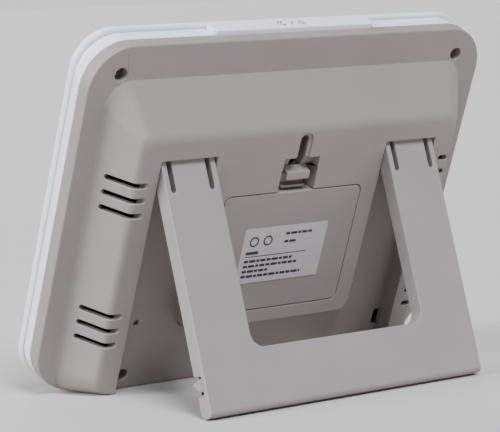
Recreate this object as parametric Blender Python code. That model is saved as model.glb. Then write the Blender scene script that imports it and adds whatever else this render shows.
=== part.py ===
"""Desktop weather station with a fold-out stand, at its real size, standing on its base and stand.

Every piece is drawn in the unit's own frame and then leaned back with it:
x is across the unit, seen from behind; y runs up its face; z runs out of its back, with 0 at the case seam.
The world frame has +Z up, the display facing -Y and the origin under the middle of the object's box.
"""

import math

import bmesh
import bpy
from mathutils import Matrix, Vector

MM = 0.001

# Driving dimensions. Distances "up" are along the unit's face from the bottom of the rear rim,
# and distances "back" are from the case seam, positive towards the rear.
LEAN = math.radians(20.0)
GAP = 0.3 * MM  # between pieces that touch
FIT = 0.4 * MM  # around pieces that move or drop in

SEAM_HALF = 102.9 * MM
SEAM_TOP = 156.4 * MM
SEAM_BOTTOM = 0.5 * MM
CASE_CORNER = 19.6 * MM
CASE_WALL = 2.0 * MM

RIM_BACK = 6.0 * MM
RIM_INSET = 0.3 * MM
RIM_EDGE = 0.8 * MM

HUMP_BACK = 22.5 * MM
HUMP_BASE_HALF = 93.3 * MM
HUMP_BASE_TOP = 141.3 * MM
HUMP_BASE_CORNER = 11.0 * MM
HUMP_HALF = 82.8 * MM
HUMP_TOP = 122.4 * MM
HUMP_CORNER = 5.0 * MM
HUMP_LOW_CORNER = 9.0 * MM
HUMP_EDGE = 2.4 * MM

# The white band draws in towards the front plate, more at its sides than at its top.
FRONT_CASE_DEPTH = 7.6 * MM
FRONT_CASE_WALL = 1.6 * MM
BAND_SIDE_DRAW = 1.9 * MM
BAND_TOP_DRAW = 0.3 * MM
BEZEL_HALF = SEAM_HALF - 0.9 * MM
BEZEL_TOP = SEAM_TOP + 1.4 * MM
BEZEL_LOW = SEAM_BOTTOM - 0.6 * MM
BEZEL_CORNER = CASE_CORNER - 2.5 * MM
BEZEL_FRONT = 11.1 * MM
EDGE_CHAMFER = 0.5 * MM

WINDOW_HALF = 78.0 * MM
WINDOW_LOW = 36.0 * MM
WINDOW_HIGH = 138.0 * MM
WINDOW_CORNER = 3.0 * MM
LENS_LEDGE = 2.0 * MM
LENS_THICK = 1.3 * MM
LCD_BORDER = 2.6 * MM
LCD_THICK = 1.1 * MM
BACKLIGHT_THICK = 0.6 * MM

# The stand: a tray with two legs, a bottom bar and pivots moulded on its spring fingers.
STAND_HALF = 71.8 * MM
STAND_WINDOW_HALF = 45.2 * MM
STAND_LENGTH = 102.6 * MM  # pivot to foot
STAND_WINDOW_END = 77.6 * MM  # pivot to the window's lower edge
STAND_WINDOW_CORNER = 6.0 * MM
STAND_THICK = 7.0 * MM
STAND_PLATE = 2.0 * MM
STAND_FLANGE = 1.8 * MM
STAND_EDGE = 2.5 * MM
STAND_HEEL = STAND_THICK / 2 - 1.5 * MM
FINGER_WIDTH = 2.6 * MM
FINGER_SLOT = 2.4 * MM
FINGER_LENGTH = 11.8 * MM
PIVOT_RADIUS = 2.0 * MM
PIVOT_REACH = 1.5 * MM
PIVOT_UP = 108.6 * MM
TOOTH_PLACE = 88.1 * MM  # pivot to the tooth's tip
TOOTH_PROUD = 1.4 * MM
NOTCH_DEPTH = 4.6 * MM

CHANNEL_FLOOR_WALL = 1.8 * MM
PIVOT_BACK = HUMP_BACK - 0.25 * MM - STAND_THICK / 2
CHANNEL_FLOOR = PIVOT_BACK - STAND_THICK / 2 - 0.35 * MM
CHANNEL_HALF = STAND_HALF + 2 * GAP
CHANNEL_TOP = PIVOT_UP + STAND_THICK / 2 + FIT
BOX_HALF = STAND_WINDOW_HALF - 2 * GAP
BOX_LOW = PIVOT_UP - STAND_WINDOW_END + FIT

# Batteries, their well, its door and the latch.
CELL_RADIUS = 7.1 * MM
CELL_LENGTH = 49.2 * MM
CELL_NUB_RADIUS = 2.7 * MM
CELL_NUB = 1.3 * MM
CELL_COUNT = 3
CELL_PITCH = 14.7 * MM
CONTACT_ROOM = 4.0 * MM
CONTACT_THICK = 0.4 * MM
SPRING_TURNS = 3
SPRING_WIRE = 0.8 * MM
WELL_WALL = 1.5 * MM
DOOR_HALF = 36.0 * MM
DOOR_LOW = 38.0 * MM
DOOR_HIGH = 93.0 * MM
DOOR_CORNER = 3.0 * MM
DOOR_THICK = 2.0 * MM
DOOR_SEAT_DEPTH = 6.4 * MM
DOOR_TAB_REACH = 2.0 * MM
DOOR_TAB_HALF = 4.0 * MM
DOOR_TAB_PLACE = 22.0 * MM
LABEL_HALF = 22.0 * MM
LABEL_LOW = 51.4 * MM
LABEL_HIGH = 77.2 * MM
LABEL_THICK = 0.15 * MM

RECESS_HALF = 9.5 * MM
RECESS_HIGH = 108.5 * MM
RECESS_STEP = 103.4 * MM
RECESS_BACK = 14.6 * MM
BOWL_BACK = 17.7 * MM
KEYHOLE_HALF = 3.4 * MM
KEYHOLE_SLOT_HALF = 2.0 * MM
KEYHOLE_TOP = 119.8 * MM
KEYHOLE_ROOM = 5.0 * MM
KEYHOLE_STEP = 1.1 * MM
LATCH_HALF = 6.0 * MM
LATCH_LOW = 98.4 * MM
LATCH_HIGH = 102.2 * MM
LATCH_STRIP = 1.2 * MM
LATCH_CLEAR = 0.8 * MM  # between the door's edge and the strip, so the strip can bend

# Louvre slots that wrap from the rear face on to the hump's flanks.
VENT_WIDTH = 2.3 * MM
VENT_PITCH = 6.65 * MM
VENT_COUNT = 3
VENT_GROUPS = (102.3 * MM, 43.2 * MM)  # the top slot of each group
VENT_INNER = 77.0 * MM
VENT_FRONT = 10.5 * MM

# Fasteners and small holes.
SCREW_HEAD = 2.4 * MM
SCREW_HEAD_HEIGHT = 1.6 * MM
SCREW_SHANK = 1.1 * MM
SCREW_LENGTH = 10.0 * MM
SCREW_WELL = 2.8 * MM
SCREW_BOSS = 4.3 * MM
UPPER_SCREW = (88.0 * MM, 144.1 * MM)
UPPER_SEAT = 5.2 * MM
LOWER_SCREW = (65.2 * MM, 9.7 * MM)
LOWER_SEAT = 8.6 * MM
RESET_PLACE = (-63.0 * MM, 34.2 * MM)
RESET_RADIUS = 1.3 * MM

# The snooze and light bar along the top.
BAR_HALF = 42.0 * MM
BAR_FRONT = -7.3 * MM
BAR_BACK = 0.7 * MM
BAR_TOP = SEAM_TOP + 2.3 * MM
BAR_LOW = SEAM_TOP - 1.5 * MM
BAR_CORNER = 2.4 * MM
BAR_STEM_BACK = -1.3 * MM
BAR_STEM_LOW = SEAM_TOP - 5.5 * MM
BAR_LIP = 1.5 * MM
BAR_TRAVEL = 0.8 * MM

# Keys on the front.
KEY_COUNT = 5
KEY_PITCH = 28.0 * MM
KEY_HALF = 8.0 * MM
KEY_HALF_HEIGHT = 2.9 * MM
KEY_UP = 20.5 * MM
KEY_PROUD = 0.7 * MM
KEY_LIP = 0.9 * MM
KEY_TRAVEL = 0.4 * MM
SWITCH_HALF = 2.6 * MM

BOARD_HALF = 94.0 * MM
BOARD_LOW = 6.5 * MM
BOARD_HIGH = 146.0 * MM
BOARD_THICK = 1.2 * MM
BOARD_BACK = -2.4 * MM

CORNER_STEPS = 6
EDGE_STEPS = 3
ROUND_STEPS = 16

COLOURS = {
    "white": ((0.86, 0.86, 0.88), 0.32, 0.0),
    "beige": ((0.62, 0.60, 0.57), 0.55, 0.0),
    "paper": ((0.80, 0.78, 0.78), 0.60, 0.0),
    "clear": ((0.75, 0.80, 0.80), 0.08, 0.0),
    "lcd": ((0.42, 0.47, 0.43), 0.20, 0.0),
    "diffuser": ((0.90, 0.92, 0.90), 0.40, 0.0),
    "board": ((0.05, 0.22, 0.12), 0.45, 0.0),
    "black": ((0.03, 0.03, 0.03), 0.50, 0.0),
    "steel": ((0.60, 0.60, 0.62), 0.30, 1.0),
    "brass": ((0.72, 0.55, 0.25), 0.30, 1.0),
    "rubber": ((0.10, 0.10, 0.10), 0.80, 0.0),
    "cell": ((0.12, 0.25, 0.45), 0.40, 0.2),
}

COS_LEAN = math.cos(LEAN)
SIN_LEAN = math.sin(LEAN)


def stand_opening():
    """The angle between the stand and the unit's back at which the foot just reaches the ground."""
    pivot_height = PIVOT_UP * COS_LEAN - (PIVOT_BACK - RIM_BACK) * SIN_LEAN
    along = STAND_LENGTH - STAND_EDGE
    across = STAND_THICK / 2 - STAND_EDGE
    reach = math.hypot(along, across)
    return LEAN + math.atan2(across, along) + math.acos((pivot_height - STAND_EDGE) / reach)


STAND_ANGLE = stand_opening()


def depth_middle():
    """How far back the middle of the object's box lies, in the leaned frame before it is centred."""
    front = -BEZEL_FRONT * COS_LEAN + (BEZEL_LOW + 2 * EDGE_CHAMFER) * SIN_LEAN
    pivot = PIVOT_BACK * COS_LEAN + PIVOT_UP * SIN_LEAN
    slope = STAND_ANGLE - LEAN
    along = STAND_LENGTH - STAND_EDGE
    across = STAND_THICK / 2 - STAND_EDGE
    foot = pivot + along * math.sin(slope) + across * math.cos(slope) + STAND_EDGE
    return (front + foot) / 2


def unit_frame():
    """The matrix that takes the unit's own frame to the world."""
    turn = Matrix(((-1, 0, 0), (0, SIN_LEAN, COS_LEAN), (0, COS_LEAN, -SIN_LEAN))).to_4x4()
    place = Vector((0, -depth_middle(), RIM_BACK * SIN_LEAN))
    return Matrix.Translation(place) @ turn


# ---- drawing helpers ----


def clear_scene():
    for obj in list(bpy.data.objects):
        bpy.data.objects.remove(obj)


def material(name):
    found = bpy.data.materials.get(name)
    if found:
        return found
    colour, roughness, metallic = COLOURS[name]
    made = bpy.data.materials.new(name)
    made.use_nodes = True
    shader = made.node_tree.nodes["Principled BSDF"]
    shader.inputs["Base Color"].default_value = (*colour, 1.0)
    shader.inputs["Roughness"].default_value = roughness
    shader.inputs["Metallic"].default_value = metallic
    return made


def frame_empty(name, parent, place=(0, 0, 0), turn=0.0):
    """An empty that holds a group of pieces; turn is about the unit's x axis."""
    empty = bpy.data.objects.new(name, None)
    bpy.context.scene.collection.objects.link(empty)
    empty.parent = parent
    empty.location = place
    empty.rotation_euler = (turn, 0, 0)
    return empty


def new_object(name, bm, parent, colour, origin=(0, 0, 0)):
    """An object from a bmesh drawn in its parent's frame, with its origin at a point of that frame."""
    bmesh.ops.remove_doubles(bm, verts=bm.verts, dist=1e-7)
    bmesh.ops.recalc_face_normals(bm, faces=bm.faces)
    bmesh.ops.translate(bm, verts=bm.verts, vec=-Vector(origin))
    mesh = bpy.data.meshes.new(name)
    bm.to_mesh(mesh)
    bm.free()
    mesh.shade_smooth()
    mesh.set_sharp_from_angle(angle=math.radians(35))
    obj = bpy.data.objects.new(name, mesh)
    bpy.context.scene.collection.objects.link(obj)
    obj.parent = parent
    obj.location = origin
    if colour is None:
        obj.hide_render = True
        obj.display_type = "WIRE"
    else:
        mesh.materials.append(material(colour))
    return obj


def boolean(target, operation, cutter):
    modifier = target.modifiers.new(cutter.name, "BOOLEAN")
    modifier.operation = operation
    modifier.solver = "EXACT"
    modifier.object = cutter


def cut(target, bm, name):
    boolean(target, "DIFFERENCE", new_object(f"{name}_cutter", bm, target.parent, None))


def join(target, bm, name):
    boolean(target, "UNION", new_object(f"{name}_adder", bm, target.parent, None))


def rounded(half, low, high, top_corner, low_corner=None, steps=CORNER_STEPS, middle=0.0):
    """Points of a rectangle with round corners, anticlockwise from its lower right."""
    low_corner = top_corner if low_corner is None else low_corner
    points = []
    corners = (
        (1, low + low_corner, low_corner, -90),
        (1, high - top_corner, top_corner, 0),
        (-1, high - top_corner, top_corner, 90),
        (-1, low + low_corner, low_corner, 180),
    )
    for side, up, radius, start in corners:
        for step in range(steps + 1):
            angle = math.radians(start + 90 * step / steps)
            across = middle + side * (half - radius) + radius * math.cos(angle)
            points.append((across, up + radius * math.sin(angle)))
    return points


def loft(bm, rings):
    """A closed body through rings of points, capped at both ends."""
    rows = [[bm.verts.new(point) for point in ring] for ring in rings]
    count = len(rows[0])
    for low, high in zip(rows, rows[1:]):
        for i in range(count):
            j = (i + 1) % count
            bm.faces.new((low[i], low[j], high[j], high[i]))
    bm.faces.new(list(reversed(rows[0])))
    bm.faces.new(rows[-1])


def slab(outline, front, back):
    """An outline in the face's plane, made solid between two depths."""
    bm = bmesh.new()
    add_slab(bm, outline, front, back)
    return bm


def add_slab(bm, outline, front, back):
    loft(bm, [[(x, y, z) for x, y in outline] for z in (front, back)])


def add_profile(bm, outline, left, right):
    """A side profile of (up, back) points, made solid across the unit between two places."""
    loft(bm, [[(x, y, z) for y, z in outline] for x in (left, right)])


def add_box(bm, left, right, low, high, front, back):
    add_slab(bm, [(left, low), (right, low), (right, high), (left, high)], front, back)


def box(left, right, low, high, front, back):
    bm = bmesh.new()
    add_box(bm, left, right, low, high, front, back)
    return bm


def circle(radius, x, y, steps=ROUND_STEPS):
    turns = (2 * math.pi * i / steps for i in range(steps))
    return [(x + radius * math.cos(t), y + radius * math.sin(t)) for t in turns]


def add_rod(bm, radius, left, right, up, back, steps=ROUND_STEPS):
    """A round bar across the unit."""
    add_profile(bm, circle(radius, up, back, steps), left, right)


def add_post(bm, radius, place, front, back, steps=ROUND_STEPS):
    """A round bar along the depth of the unit."""
    add_slab(bm, circle(radius, place[0], place[1], steps), front, back)


def both_sides():
    return ((-1, "left"), (1, "right"))


def curve_between(start, knee, end, share):
    """A point of the quadratic curve that rounds the corner at knee."""
    keep = 1 - share
    return keep * keep * start + 2 * share * keep * knee + share * share * end


# ---- rear cover ----


def ground_line(back):
    """How far up the unit's face the ground is, at a depth."""
    return (back - RIM_BACK) * math.tan(LEAN)


def case_ring(back, inset=0.0, wall=0.0):
    """A ring of the case side, at a depth, drawn in by inset and by the wall."""
    inward = inset + wall
    outline = rounded(
        SEAM_HALF - inward, SEAM_BOTTOM + inward, SEAM_TOP - inward, CASE_CORNER - inward
    )
    return [(x, y, back) for x, y in outline]


def band_ring(back, draw, wall=0.0):
    """A ring of the white band, where draw runs from 0 at the seam to 1 at its front edge."""
    side = draw * BAND_SIDE_DRAW + wall
    top = draw * BAND_TOP_DRAW + wall
    outline = rounded(SEAM_HALF - side, SEAM_BOTTOM + top, SEAM_TOP - top, CASE_CORNER - side)
    return [(x, y, back) for x, y in outline]


def hump_ring(back, half, top, corner, low_corner, wall=0.0):
    low = ground_line(max(back, RIM_BACK)) + wall
    outline = rounded(half - wall, low, top - wall, corner, low_corner)
    return [(x, y, back) for x, y in outline]


def cover_outside():
    """The outer skin: side wall, rounded rim, flanks of the hump and its rounded rear edge."""
    rings = [case_ring(0.0)]
    wall_foot = RIM_BACK - RIM_EDGE
    for step in range(EDGE_STEPS + 1):
        share = step / EDGE_STEPS
        back = curve_between(wall_foot, RIM_BACK, RIM_BACK, share)
        inset = curve_between(RIM_INSET * wall_foot / RIM_BACK, RIM_INSET, RIM_INSET + RIM_EDGE, share)
        rings.append(case_ring(back, inset))
    base = (HUMP_BASE_HALF, HUMP_BASE_TOP, HUMP_BASE_CORNER, HUMP_BASE_CORNER)
    rings.append(hump_ring(RIM_BACK, *base))
    run = HUMP_EDGE / math.hypot(HUMP_BASE_TOP - HUMP_TOP, HUMP_BACK - RIM_BACK)
    for step in range(EDGE_STEPS + 1):
        share = step / EDGE_STEPS
        back = curve_between(HUMP_BACK - run * (HUMP_BACK - RIM_BACK), HUMP_BACK, HUMP_BACK, share)
        half = curve_between(
            HUMP_HALF + run * (HUMP_BASE_HALF - HUMP_HALF), HUMP_HALF, HUMP_HALF - HUMP_EDGE, share
        )
        top = curve_between(
            HUMP_TOP + run * (HUMP_BASE_TOP - HUMP_TOP), HUMP_TOP, HUMP_TOP - HUMP_EDGE, share
        )
        rings.append(hump_ring(back, half, top, HUMP_CORNER, HUMP_LOW_CORNER))
    bm = bmesh.new()
    loft(bm, rings)
    return bm


def cover_inside():
    """The space inside the shell, before the channels and the battery well take their part."""
    base = (HUMP_BASE_HALF, HUMP_BASE_TOP, HUMP_BASE_CORNER, HUMP_BASE_CORNER)
    rings = [
        case_ring(-GAP, 0.0, CASE_WALL),
        case_ring(RIM_BACK - CASE_WALL, RIM_INSET, CASE_WALL),
        hump_ring(RIM_BACK - CASE_WALL, *base, CASE_WALL),
        hump_ring(HUMP_BACK - CASE_WALL, HUMP_HALF, HUMP_TOP, HUMP_CORNER, HUMP_LOW_CORNER, CASE_WALL),
    ]
    bm = bmesh.new()
    loft(bm, rings)
    return bm


def channel_outline(grow=0.0):
    """The recess that the folded stand lies in: two legs joined below the battery box, open at the bottom."""
    outer, inner = CHANNEL_HALF + grow, BOX_HALF - grow
    top, crotch, low = CHANNEL_TOP + grow, BOX_LOW - grow, -10 * MM
    corner = STAND_WINDOW_CORNER
    points = [(-outer, low), (outer, low), (outer, top), (inner, top)]
    for side, start in ((1, 0), (-1, -90)):
        for step in range(CORNER_STEPS + 1):
            angle = math.radians(start - 90 * step / CORNER_STEPS)
            points.append((
                side * (inner - corner) + corner * math.cos(angle),
                crotch + corner + corner * math.sin(angle),
            ))
    return points + [(-inner, top), (-outer, top)]


def well_size():
    """Half width, low and high of the battery well, from the cells and their contacts."""
    half = CELL_LENGTH / 2 + CONTACT_ROOM
    middle = (DOOR_LOW + DOOR_HIGH) / 2
    half_height = (CELL_COUNT - 1) * CELL_PITCH / 2 + CELL_RADIUS + FIT
    return half, middle - half_height, middle + half_height


def well_front():
    return HUMP_BACK - DOOR_THICK - 2 * GAP - 2 * CELL_RADIUS - 2 * GAP


def bowl_profile():
    """The finger bowl above the latch: deep at the latch and running out at its top."""
    return [
        (RECESS_STEP - GAP, BOWL_BACK),
        (RECESS_HIGH - 1.5 * MM, HUMP_BACK - 2.6 * MM),
        (RECESS_HIGH, HUMP_BACK - 1.0 * MM),
        (RECESS_HIGH, HUMP_BACK + GAP),
        (RECESS_STEP - GAP, HUMP_BACK + GAP),
    ]


def door_outline(grow=0.0):
    return rounded(DOOR_HALF + grow, DOOR_LOW - grow, DOOR_HIGH + grow, DOOR_CORNER + grow, steps=3)


def screw_places():
    """Each screw's place, the surface it is sunk from and how deep its seat is."""
    places = []
    for (x, y), back, seat in (
        (UPPER_SCREW, RIM_BACK, UPPER_SEAT),
        (LOWER_SCREW, CHANNEL_FLOOR, LOWER_SEAT),
    ):
        places += [((side * x, y), back, seat) for side, _ in both_sides()]
    return places


def build_rear_cover(unit):
    cover = new_object("rear_cover", cover_outside(), unit, "beige")
    space = new_object("cover_space_cutter", cover_inside(), unit, None)
    half, low, high = well_size()
    walls = slab(channel_outline(CHANNEL_FLOOR_WALL), CHANNEL_FLOOR - CHANNEL_FLOOR_WALL, HUMP_BACK)
    cut(space, walls, "channel_walls")
    walls = slab(door_outline(FIT + WELL_WALL), HUMP_BACK - DOOR_SEAT_DEPTH, HUMP_BACK)
    cut(space, walls, "seat_walls")
    walls = box(-half - WELL_WALL, half + WELL_WALL, low - WELL_WALL, high + WELL_WALL,
                well_front() - WELL_WALL, HUMP_BACK)
    cut(space, walls, "well_walls")
    side = RECESS_HALF + WELL_WALL
    walls = box(-side, side, high, KEYHOLE_TOP + WELL_WALL, RECESS_BACK - WELL_WALL, HUMP_BACK)
    cut(space, walls, "recess_walls")
    bosses = bmesh.new()
    for place, back, _ in screw_places():
        add_post(bosses, SCREW_BOSS, place, -10 * MM, back)
    cut(space, bosses, "screw_bosses")
    boolean(cover, "DIFFERENCE", space)

    cut(cover, slab(channel_outline(), CHANNEL_FLOOR, HUMP_BACK + 5 * MM), "channel")
    opening = slab(door_outline(FIT), HUMP_BACK - DOOR_THICK - GAP, HUMP_BACK + 5 * MM)
    cut(cover, opening, "door_seat")
    cut(cover, box(-half, half, low, high, well_front(), HUMP_BACK), "battery_well")
    pockets = bmesh.new()
    for side, _ in both_sides():
        middle = side * DOOR_TAB_PLACE
        add_box(pockets, middle - DOOR_TAB_HALF - FIT, middle + DOOR_TAB_HALF + FIT,
                DOOR_LOW - DOOR_TAB_REACH - 2 * FIT, low - WELL_WALL - FIT,
                HUMP_BACK - DOOR_THICK - 3.0 * MM, HUMP_BACK - DOOR_THICK)
    cut(cover, pockets, "tab_pockets")
    recess = box(-RECESS_HALF, RECESS_HALF, DOOR_HIGH - GAP, RECESS_STEP, RECESS_BACK, HUMP_BACK + GAP)
    cut(cover, recess, "latch_recess")
    bowl = bmesh.new()
    add_profile(bowl, bowl_profile(), -RECESS_HALF + GAP, RECESS_HALF - GAP)
    cut(cover, bowl, "finger_bowl")
    low = RECESS_HIGH - 2 * KEYHOLE_HALF
    step = rounded(KEYHOLE_HALF, low, KEYHOLE_TOP, KEYHOLE_HALF * 0.98, steps=4)
    cut(cover, slab(step, HUMP_BACK - KEYHOLE_STEP, HUMP_BACK + 5 * MM), "keyhole_step")
    top = KEYHOLE_TOP - KEYHOLE_HALF + KEYHOLE_SLOT_HALF
    slot = rounded(KEYHOLE_SLOT_HALF, low, top, KEYHOLE_SLOT_HALF * 0.98, steps=4)
    cut(cover, slab(slot, HUMP_BACK - KEYHOLE_ROOM, HUMP_BACK + 5 * MM), "keyhole")
    cut(cover, vents(), "vents")
    cut(cover, cover_holes(), "holes")
    wells = bmesh.new()
    shanks = bmesh.new()
    for place, back, seat in screw_places():
        add_post(wells, SCREW_WELL, place, back - seat, back + 5 * MM)
        add_post(shanks, SCREW_SHANK + GAP, place, -20 * MM, back - seat + GAP, 8)
    cut(cover, wells, "screw_wells")
    cut(cover, shanks, "screw_shanks")
    cut(cover, bar_opening(), "bar_opening")
    return cover


def vents():
    """Slots along x that pass through both flanks and turn on to the rear face."""
    bm = bmesh.new()
    for side, _ in both_sides():
        for top in VENT_GROUPS:
            for slot in range(VENT_COUNT):
                up = top - slot * VENT_PITCH
                ends = sorted((side * VENT_INNER, side * (HUMP_BASE_HALF + 5 * MM)))
                add_box(bm, *ends, up - VENT_WIDTH / 2, up + VENT_WIDTH / 2, VENT_FRONT, HUMP_BACK + 5 * MM)
    return bm


def cover_holes():
    """Pivot sockets, catch holes for the stand's teeth and the reset hole."""
    bm = bmesh.new()
    for side, _ in both_sides():
        inner, outer = BOX_HALF - PIVOT_REACH, CHANNEL_HALF + PIVOT_REACH
        add_rod(bm, PIVOT_RADIUS + GAP, *sorted((side * inner, side * outer)), PIVOT_UP, PIVOT_BACK)
        tooth = PIVOT_UP - TOOTH_PLACE
        add_box(bm, *sorted((side * (STAND_HALF - STAND_FLANGE - 1.2 * MM), side * (CHANNEL_HALF + GAP))),
                tooth - 4.0 * MM, tooth + 3.4 * MM, CHANNEL_FLOOR - 2 * CHANNEL_FLOOR_WALL,
                CHANNEL_FLOOR + GAP)
    add_post(bm, RESET_RADIUS, RESET_PLACE, CHANNEL_FLOOR - 5 * MM, CHANNEL_FLOOR + 5 * MM, 12)
    return bm


def bar_outline(grow=0.0):
    """The light bar seen from above: a long bar with round corners, as (across, back) points."""
    return rounded(BAR_HALF + grow, BAR_FRONT - grow, BAR_BACK + grow, BAR_CORNER + grow, steps=5)


def upright_slab(outline, low, high):
    """An (across, back) outline, made solid between two heights."""
    bm = bmesh.new()
    loft(bm, [[(x, y, z) for x, z in outline] for y in (high, low)])
    return bm


def bar_opening():
    return upright_slab(bar_outline(FIT), SEAM_TOP - CASE_WALL - RIM_INSET, SEAM_TOP + 5 * MM)


# ---- front ----


def build_front_case(unit):
    """The white band: a side wall and a front wall with the display window and key holes."""
    front = -FRONT_CASE_DEPTH
    bm = bmesh.new()
    rings = []
    for step in range(EDGE_STEPS + 1):
        share = step / EDGE_STEPS
        rings.append(band_ring(curve_between(front, front / 2, -CASE_WALL, share), (1 - share) ** 2))
    rings.append(case_ring(-GAP - EDGE_CHAMFER / 2))
    rings.append(case_ring(-GAP, EDGE_CHAMFER / 2))
    loft(bm, rings)
    case = new_object("front_case", bm, unit, "white")
    bm = bmesh.new()
    loft(bm, [
        band_ring(front + FRONT_CASE_WALL, 1, CASE_WALL),
        band_ring(-GAP, 0, CASE_WALL),
        band_ring(5 * MM, 0, CASE_WALL),
    ])
    cut(case, bm, "front_space")
    cut(case, window_slab(0.0, front - 5 * MM, 5 * MM), "case_window")
    cut(case, key_holes(FIT, front - 5 * MM, 5 * MM), "case_keys")
    cut(case, bar_opening(), "case_bar")
    bosses = bmesh.new()
    for place, _, _ in screw_places():
        add_post(bosses, SCREW_BOSS, place, front + GAP, -2 * GAP)
    join(case, bosses, "front_bosses")
    holes = bmesh.new()
    for place, _, _ in screw_places():
        add_post(holes, SCREW_SHANK + GAP, place, front + 2 * MM, 5 * MM, 8)
    cut(case, holes, "front_pilots")
    return case


def window_slab(grow, front, back):
    outline = rounded(
        WINDOW_HALF + grow, WINDOW_LOW - grow, WINDOW_HIGH + grow, WINDOW_CORNER, steps=3
    )
    return slab(outline, front, back)


def key_places():
    first = -(KEY_COUNT - 1) / 2
    return [(first + i) * KEY_PITCH for i in range(KEY_COUNT)]


def key_outline(middle, grow=0.0):
    return rounded(
        KEY_HALF + grow, KEY_UP - KEY_HALF_HEIGHT - grow, KEY_UP + KEY_HALF_HEIGHT + grow,
        KEY_HALF_HEIGHT * 0.98 + grow, steps=4, middle=middle,
    )


def key_holes(grow, front, back):
    bm = bmesh.new()
    for middle in key_places():
        add_slab(bm, key_outline(middle, grow), front, back)
    return bm


def build_front_bezel(unit):
    """The white front plate, with a ledge for the lens and its key holes."""
    back = -FRONT_CASE_DEPTH - GAP
    front = -BEZEL_FRONT

    def ring(depth, inset):
        outline = rounded(
            BEZEL_HALF - inset, BEZEL_LOW + inset, BEZEL_TOP - inset, BEZEL_CORNER - inset
        )
        return [(x, y, depth) for x, y in outline]

    bm = bmesh.new()
    loft(bm, [
        ring(front, 2 * EDGE_CHAMFER),
        ring(front + EDGE_CHAMFER / 2, EDGE_CHAMFER),
        ring(front + 2 * EDGE_CHAMFER, 0),
        ring(back - EDGE_CHAMFER, 0),
        ring(back, EDGE_CHAMFER),
    ])
    bezel = new_object("front_bezel", bm, unit, "white")
    cut(bezel, window_slab(-GAP, front - 5 * MM, back + 5 * MM), "bezel_window")
    cut(bezel, window_slab(LENS_LEDGE + GAP, front - 5 * MM, front + LENS_THICK + 2 * GAP), "lens_seat")
    cut(bezel, key_holes(FIT, front - 5 * MM, back + 5 * MM), "bezel_keys")
    return bezel


def build_display(unit):
    """The lens in the bezel, then the liquid crystal glass, its backlight and its contact strips."""
    front = -BEZEL_FRONT + GAP
    new_object("display_lens", window_slab(LENS_LEDGE, front, front + LENS_THICK), unit, "clear")
    glass_front = -FRONT_CASE_DEPTH + FRONT_CASE_WALL + GAP
    glass_back = glass_front + LCD_THICK
    new_object("lcd_glass", window_slab(LCD_BORDER, glass_front, glass_back), unit, "lcd")
    light_front = glass_back + GAP / 2
    light = window_slab(LCD_BORDER - 2 * MM, light_front, light_front + BACKLIGHT_THICK)
    new_object("backlight", light, unit, "diffuser")
    strip_half = WINDOW_HALF - 8 * MM
    low = WINDOW_LOW - LCD_BORDER - 1.6 * MM - GAP
    strip = box(-strip_half, strip_half, low, low + 1.6 * MM, glass_front + GAP, board_front() - GAP)
    new_object("contact_strip", strip, unit, "rubber")


def build_keys(unit):
    for number, middle in enumerate(key_places(), 1):
        front = -BEZEL_FRONT - KEY_PROUD
        lip_front = -FRONT_CASE_DEPTH + FRONT_CASE_WALL + GAP / 2
        lip_back = lip_front + 0.7 * MM
        bm = bmesh.new()
        loft(bm, [
            [(x, y, z) for x, y in key_outline(middle, grow)]
            for z, grow in (
                (front, -0.5 * MM),
                (front + 0.4 * MM, 0),
                (lip_front, 0),
                (lip_front + 0.01 * MM, KEY_LIP),
                (lip_back, KEY_LIP),
            )
        ])
        new_object(f"key_{number}", bm, unit, "white", (middle, KEY_UP, front))
        switch_back = board_front() - GAP / 2
        bm = box(middle - SWITCH_HALF, middle + SWITCH_HALF, KEY_UP - SWITCH_HALF, KEY_UP + SWITCH_HALF,
                 min(lip_back + KEY_TRAVEL, switch_back - GAP), switch_back)
        new_object(f"key_switch_{number}", bm, unit, "black")


def build_light_bar(unit):
    """The snooze and light bar with its stem and retaining lips, and the switch under it."""
    top_edge = 0.7 * MM
    bm = bmesh.new()
    loft(bm, [
        [(x, y, z) for x, z in bar_outline(grow)]
        for y, grow in ((BAR_TOP, -top_edge), (BAR_TOP - top_edge / 3, -top_edge / 3),
                        (BAR_TOP - top_edge, 0), (BAR_LOW, 0))
    ])
    middle = (0, (BAR_TOP + BAR_LOW) / 2, (BAR_FRONT + BAR_BACK) / 2)
    bar = new_object("light_bar", bm, unit, "white", middle)
    stem_front = BAR_FRONT + CASE_WALL
    stem = box(-BAR_HALF + 5 * MM, BAR_HALF - 5 * MM, BAR_STEM_LOW, BAR_LOW + 2 * MM,
               stem_front, BAR_STEM_BACK)
    join(bar, stem, "bar_stem")
    lip = box(-BAR_HALF - BAR_LIP, BAR_HALF + BAR_LIP, BAR_STEM_LOW - GAP, BAR_STEM_LOW + 1.6 * MM,
              stem_front + GAP, BAR_STEM_BACK - GAP)
    join(bar, lip, "bar_lip")


# ---- boards and what is on them ----


def board_front():
    return BOARD_BACK - BOARD_THICK


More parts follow.
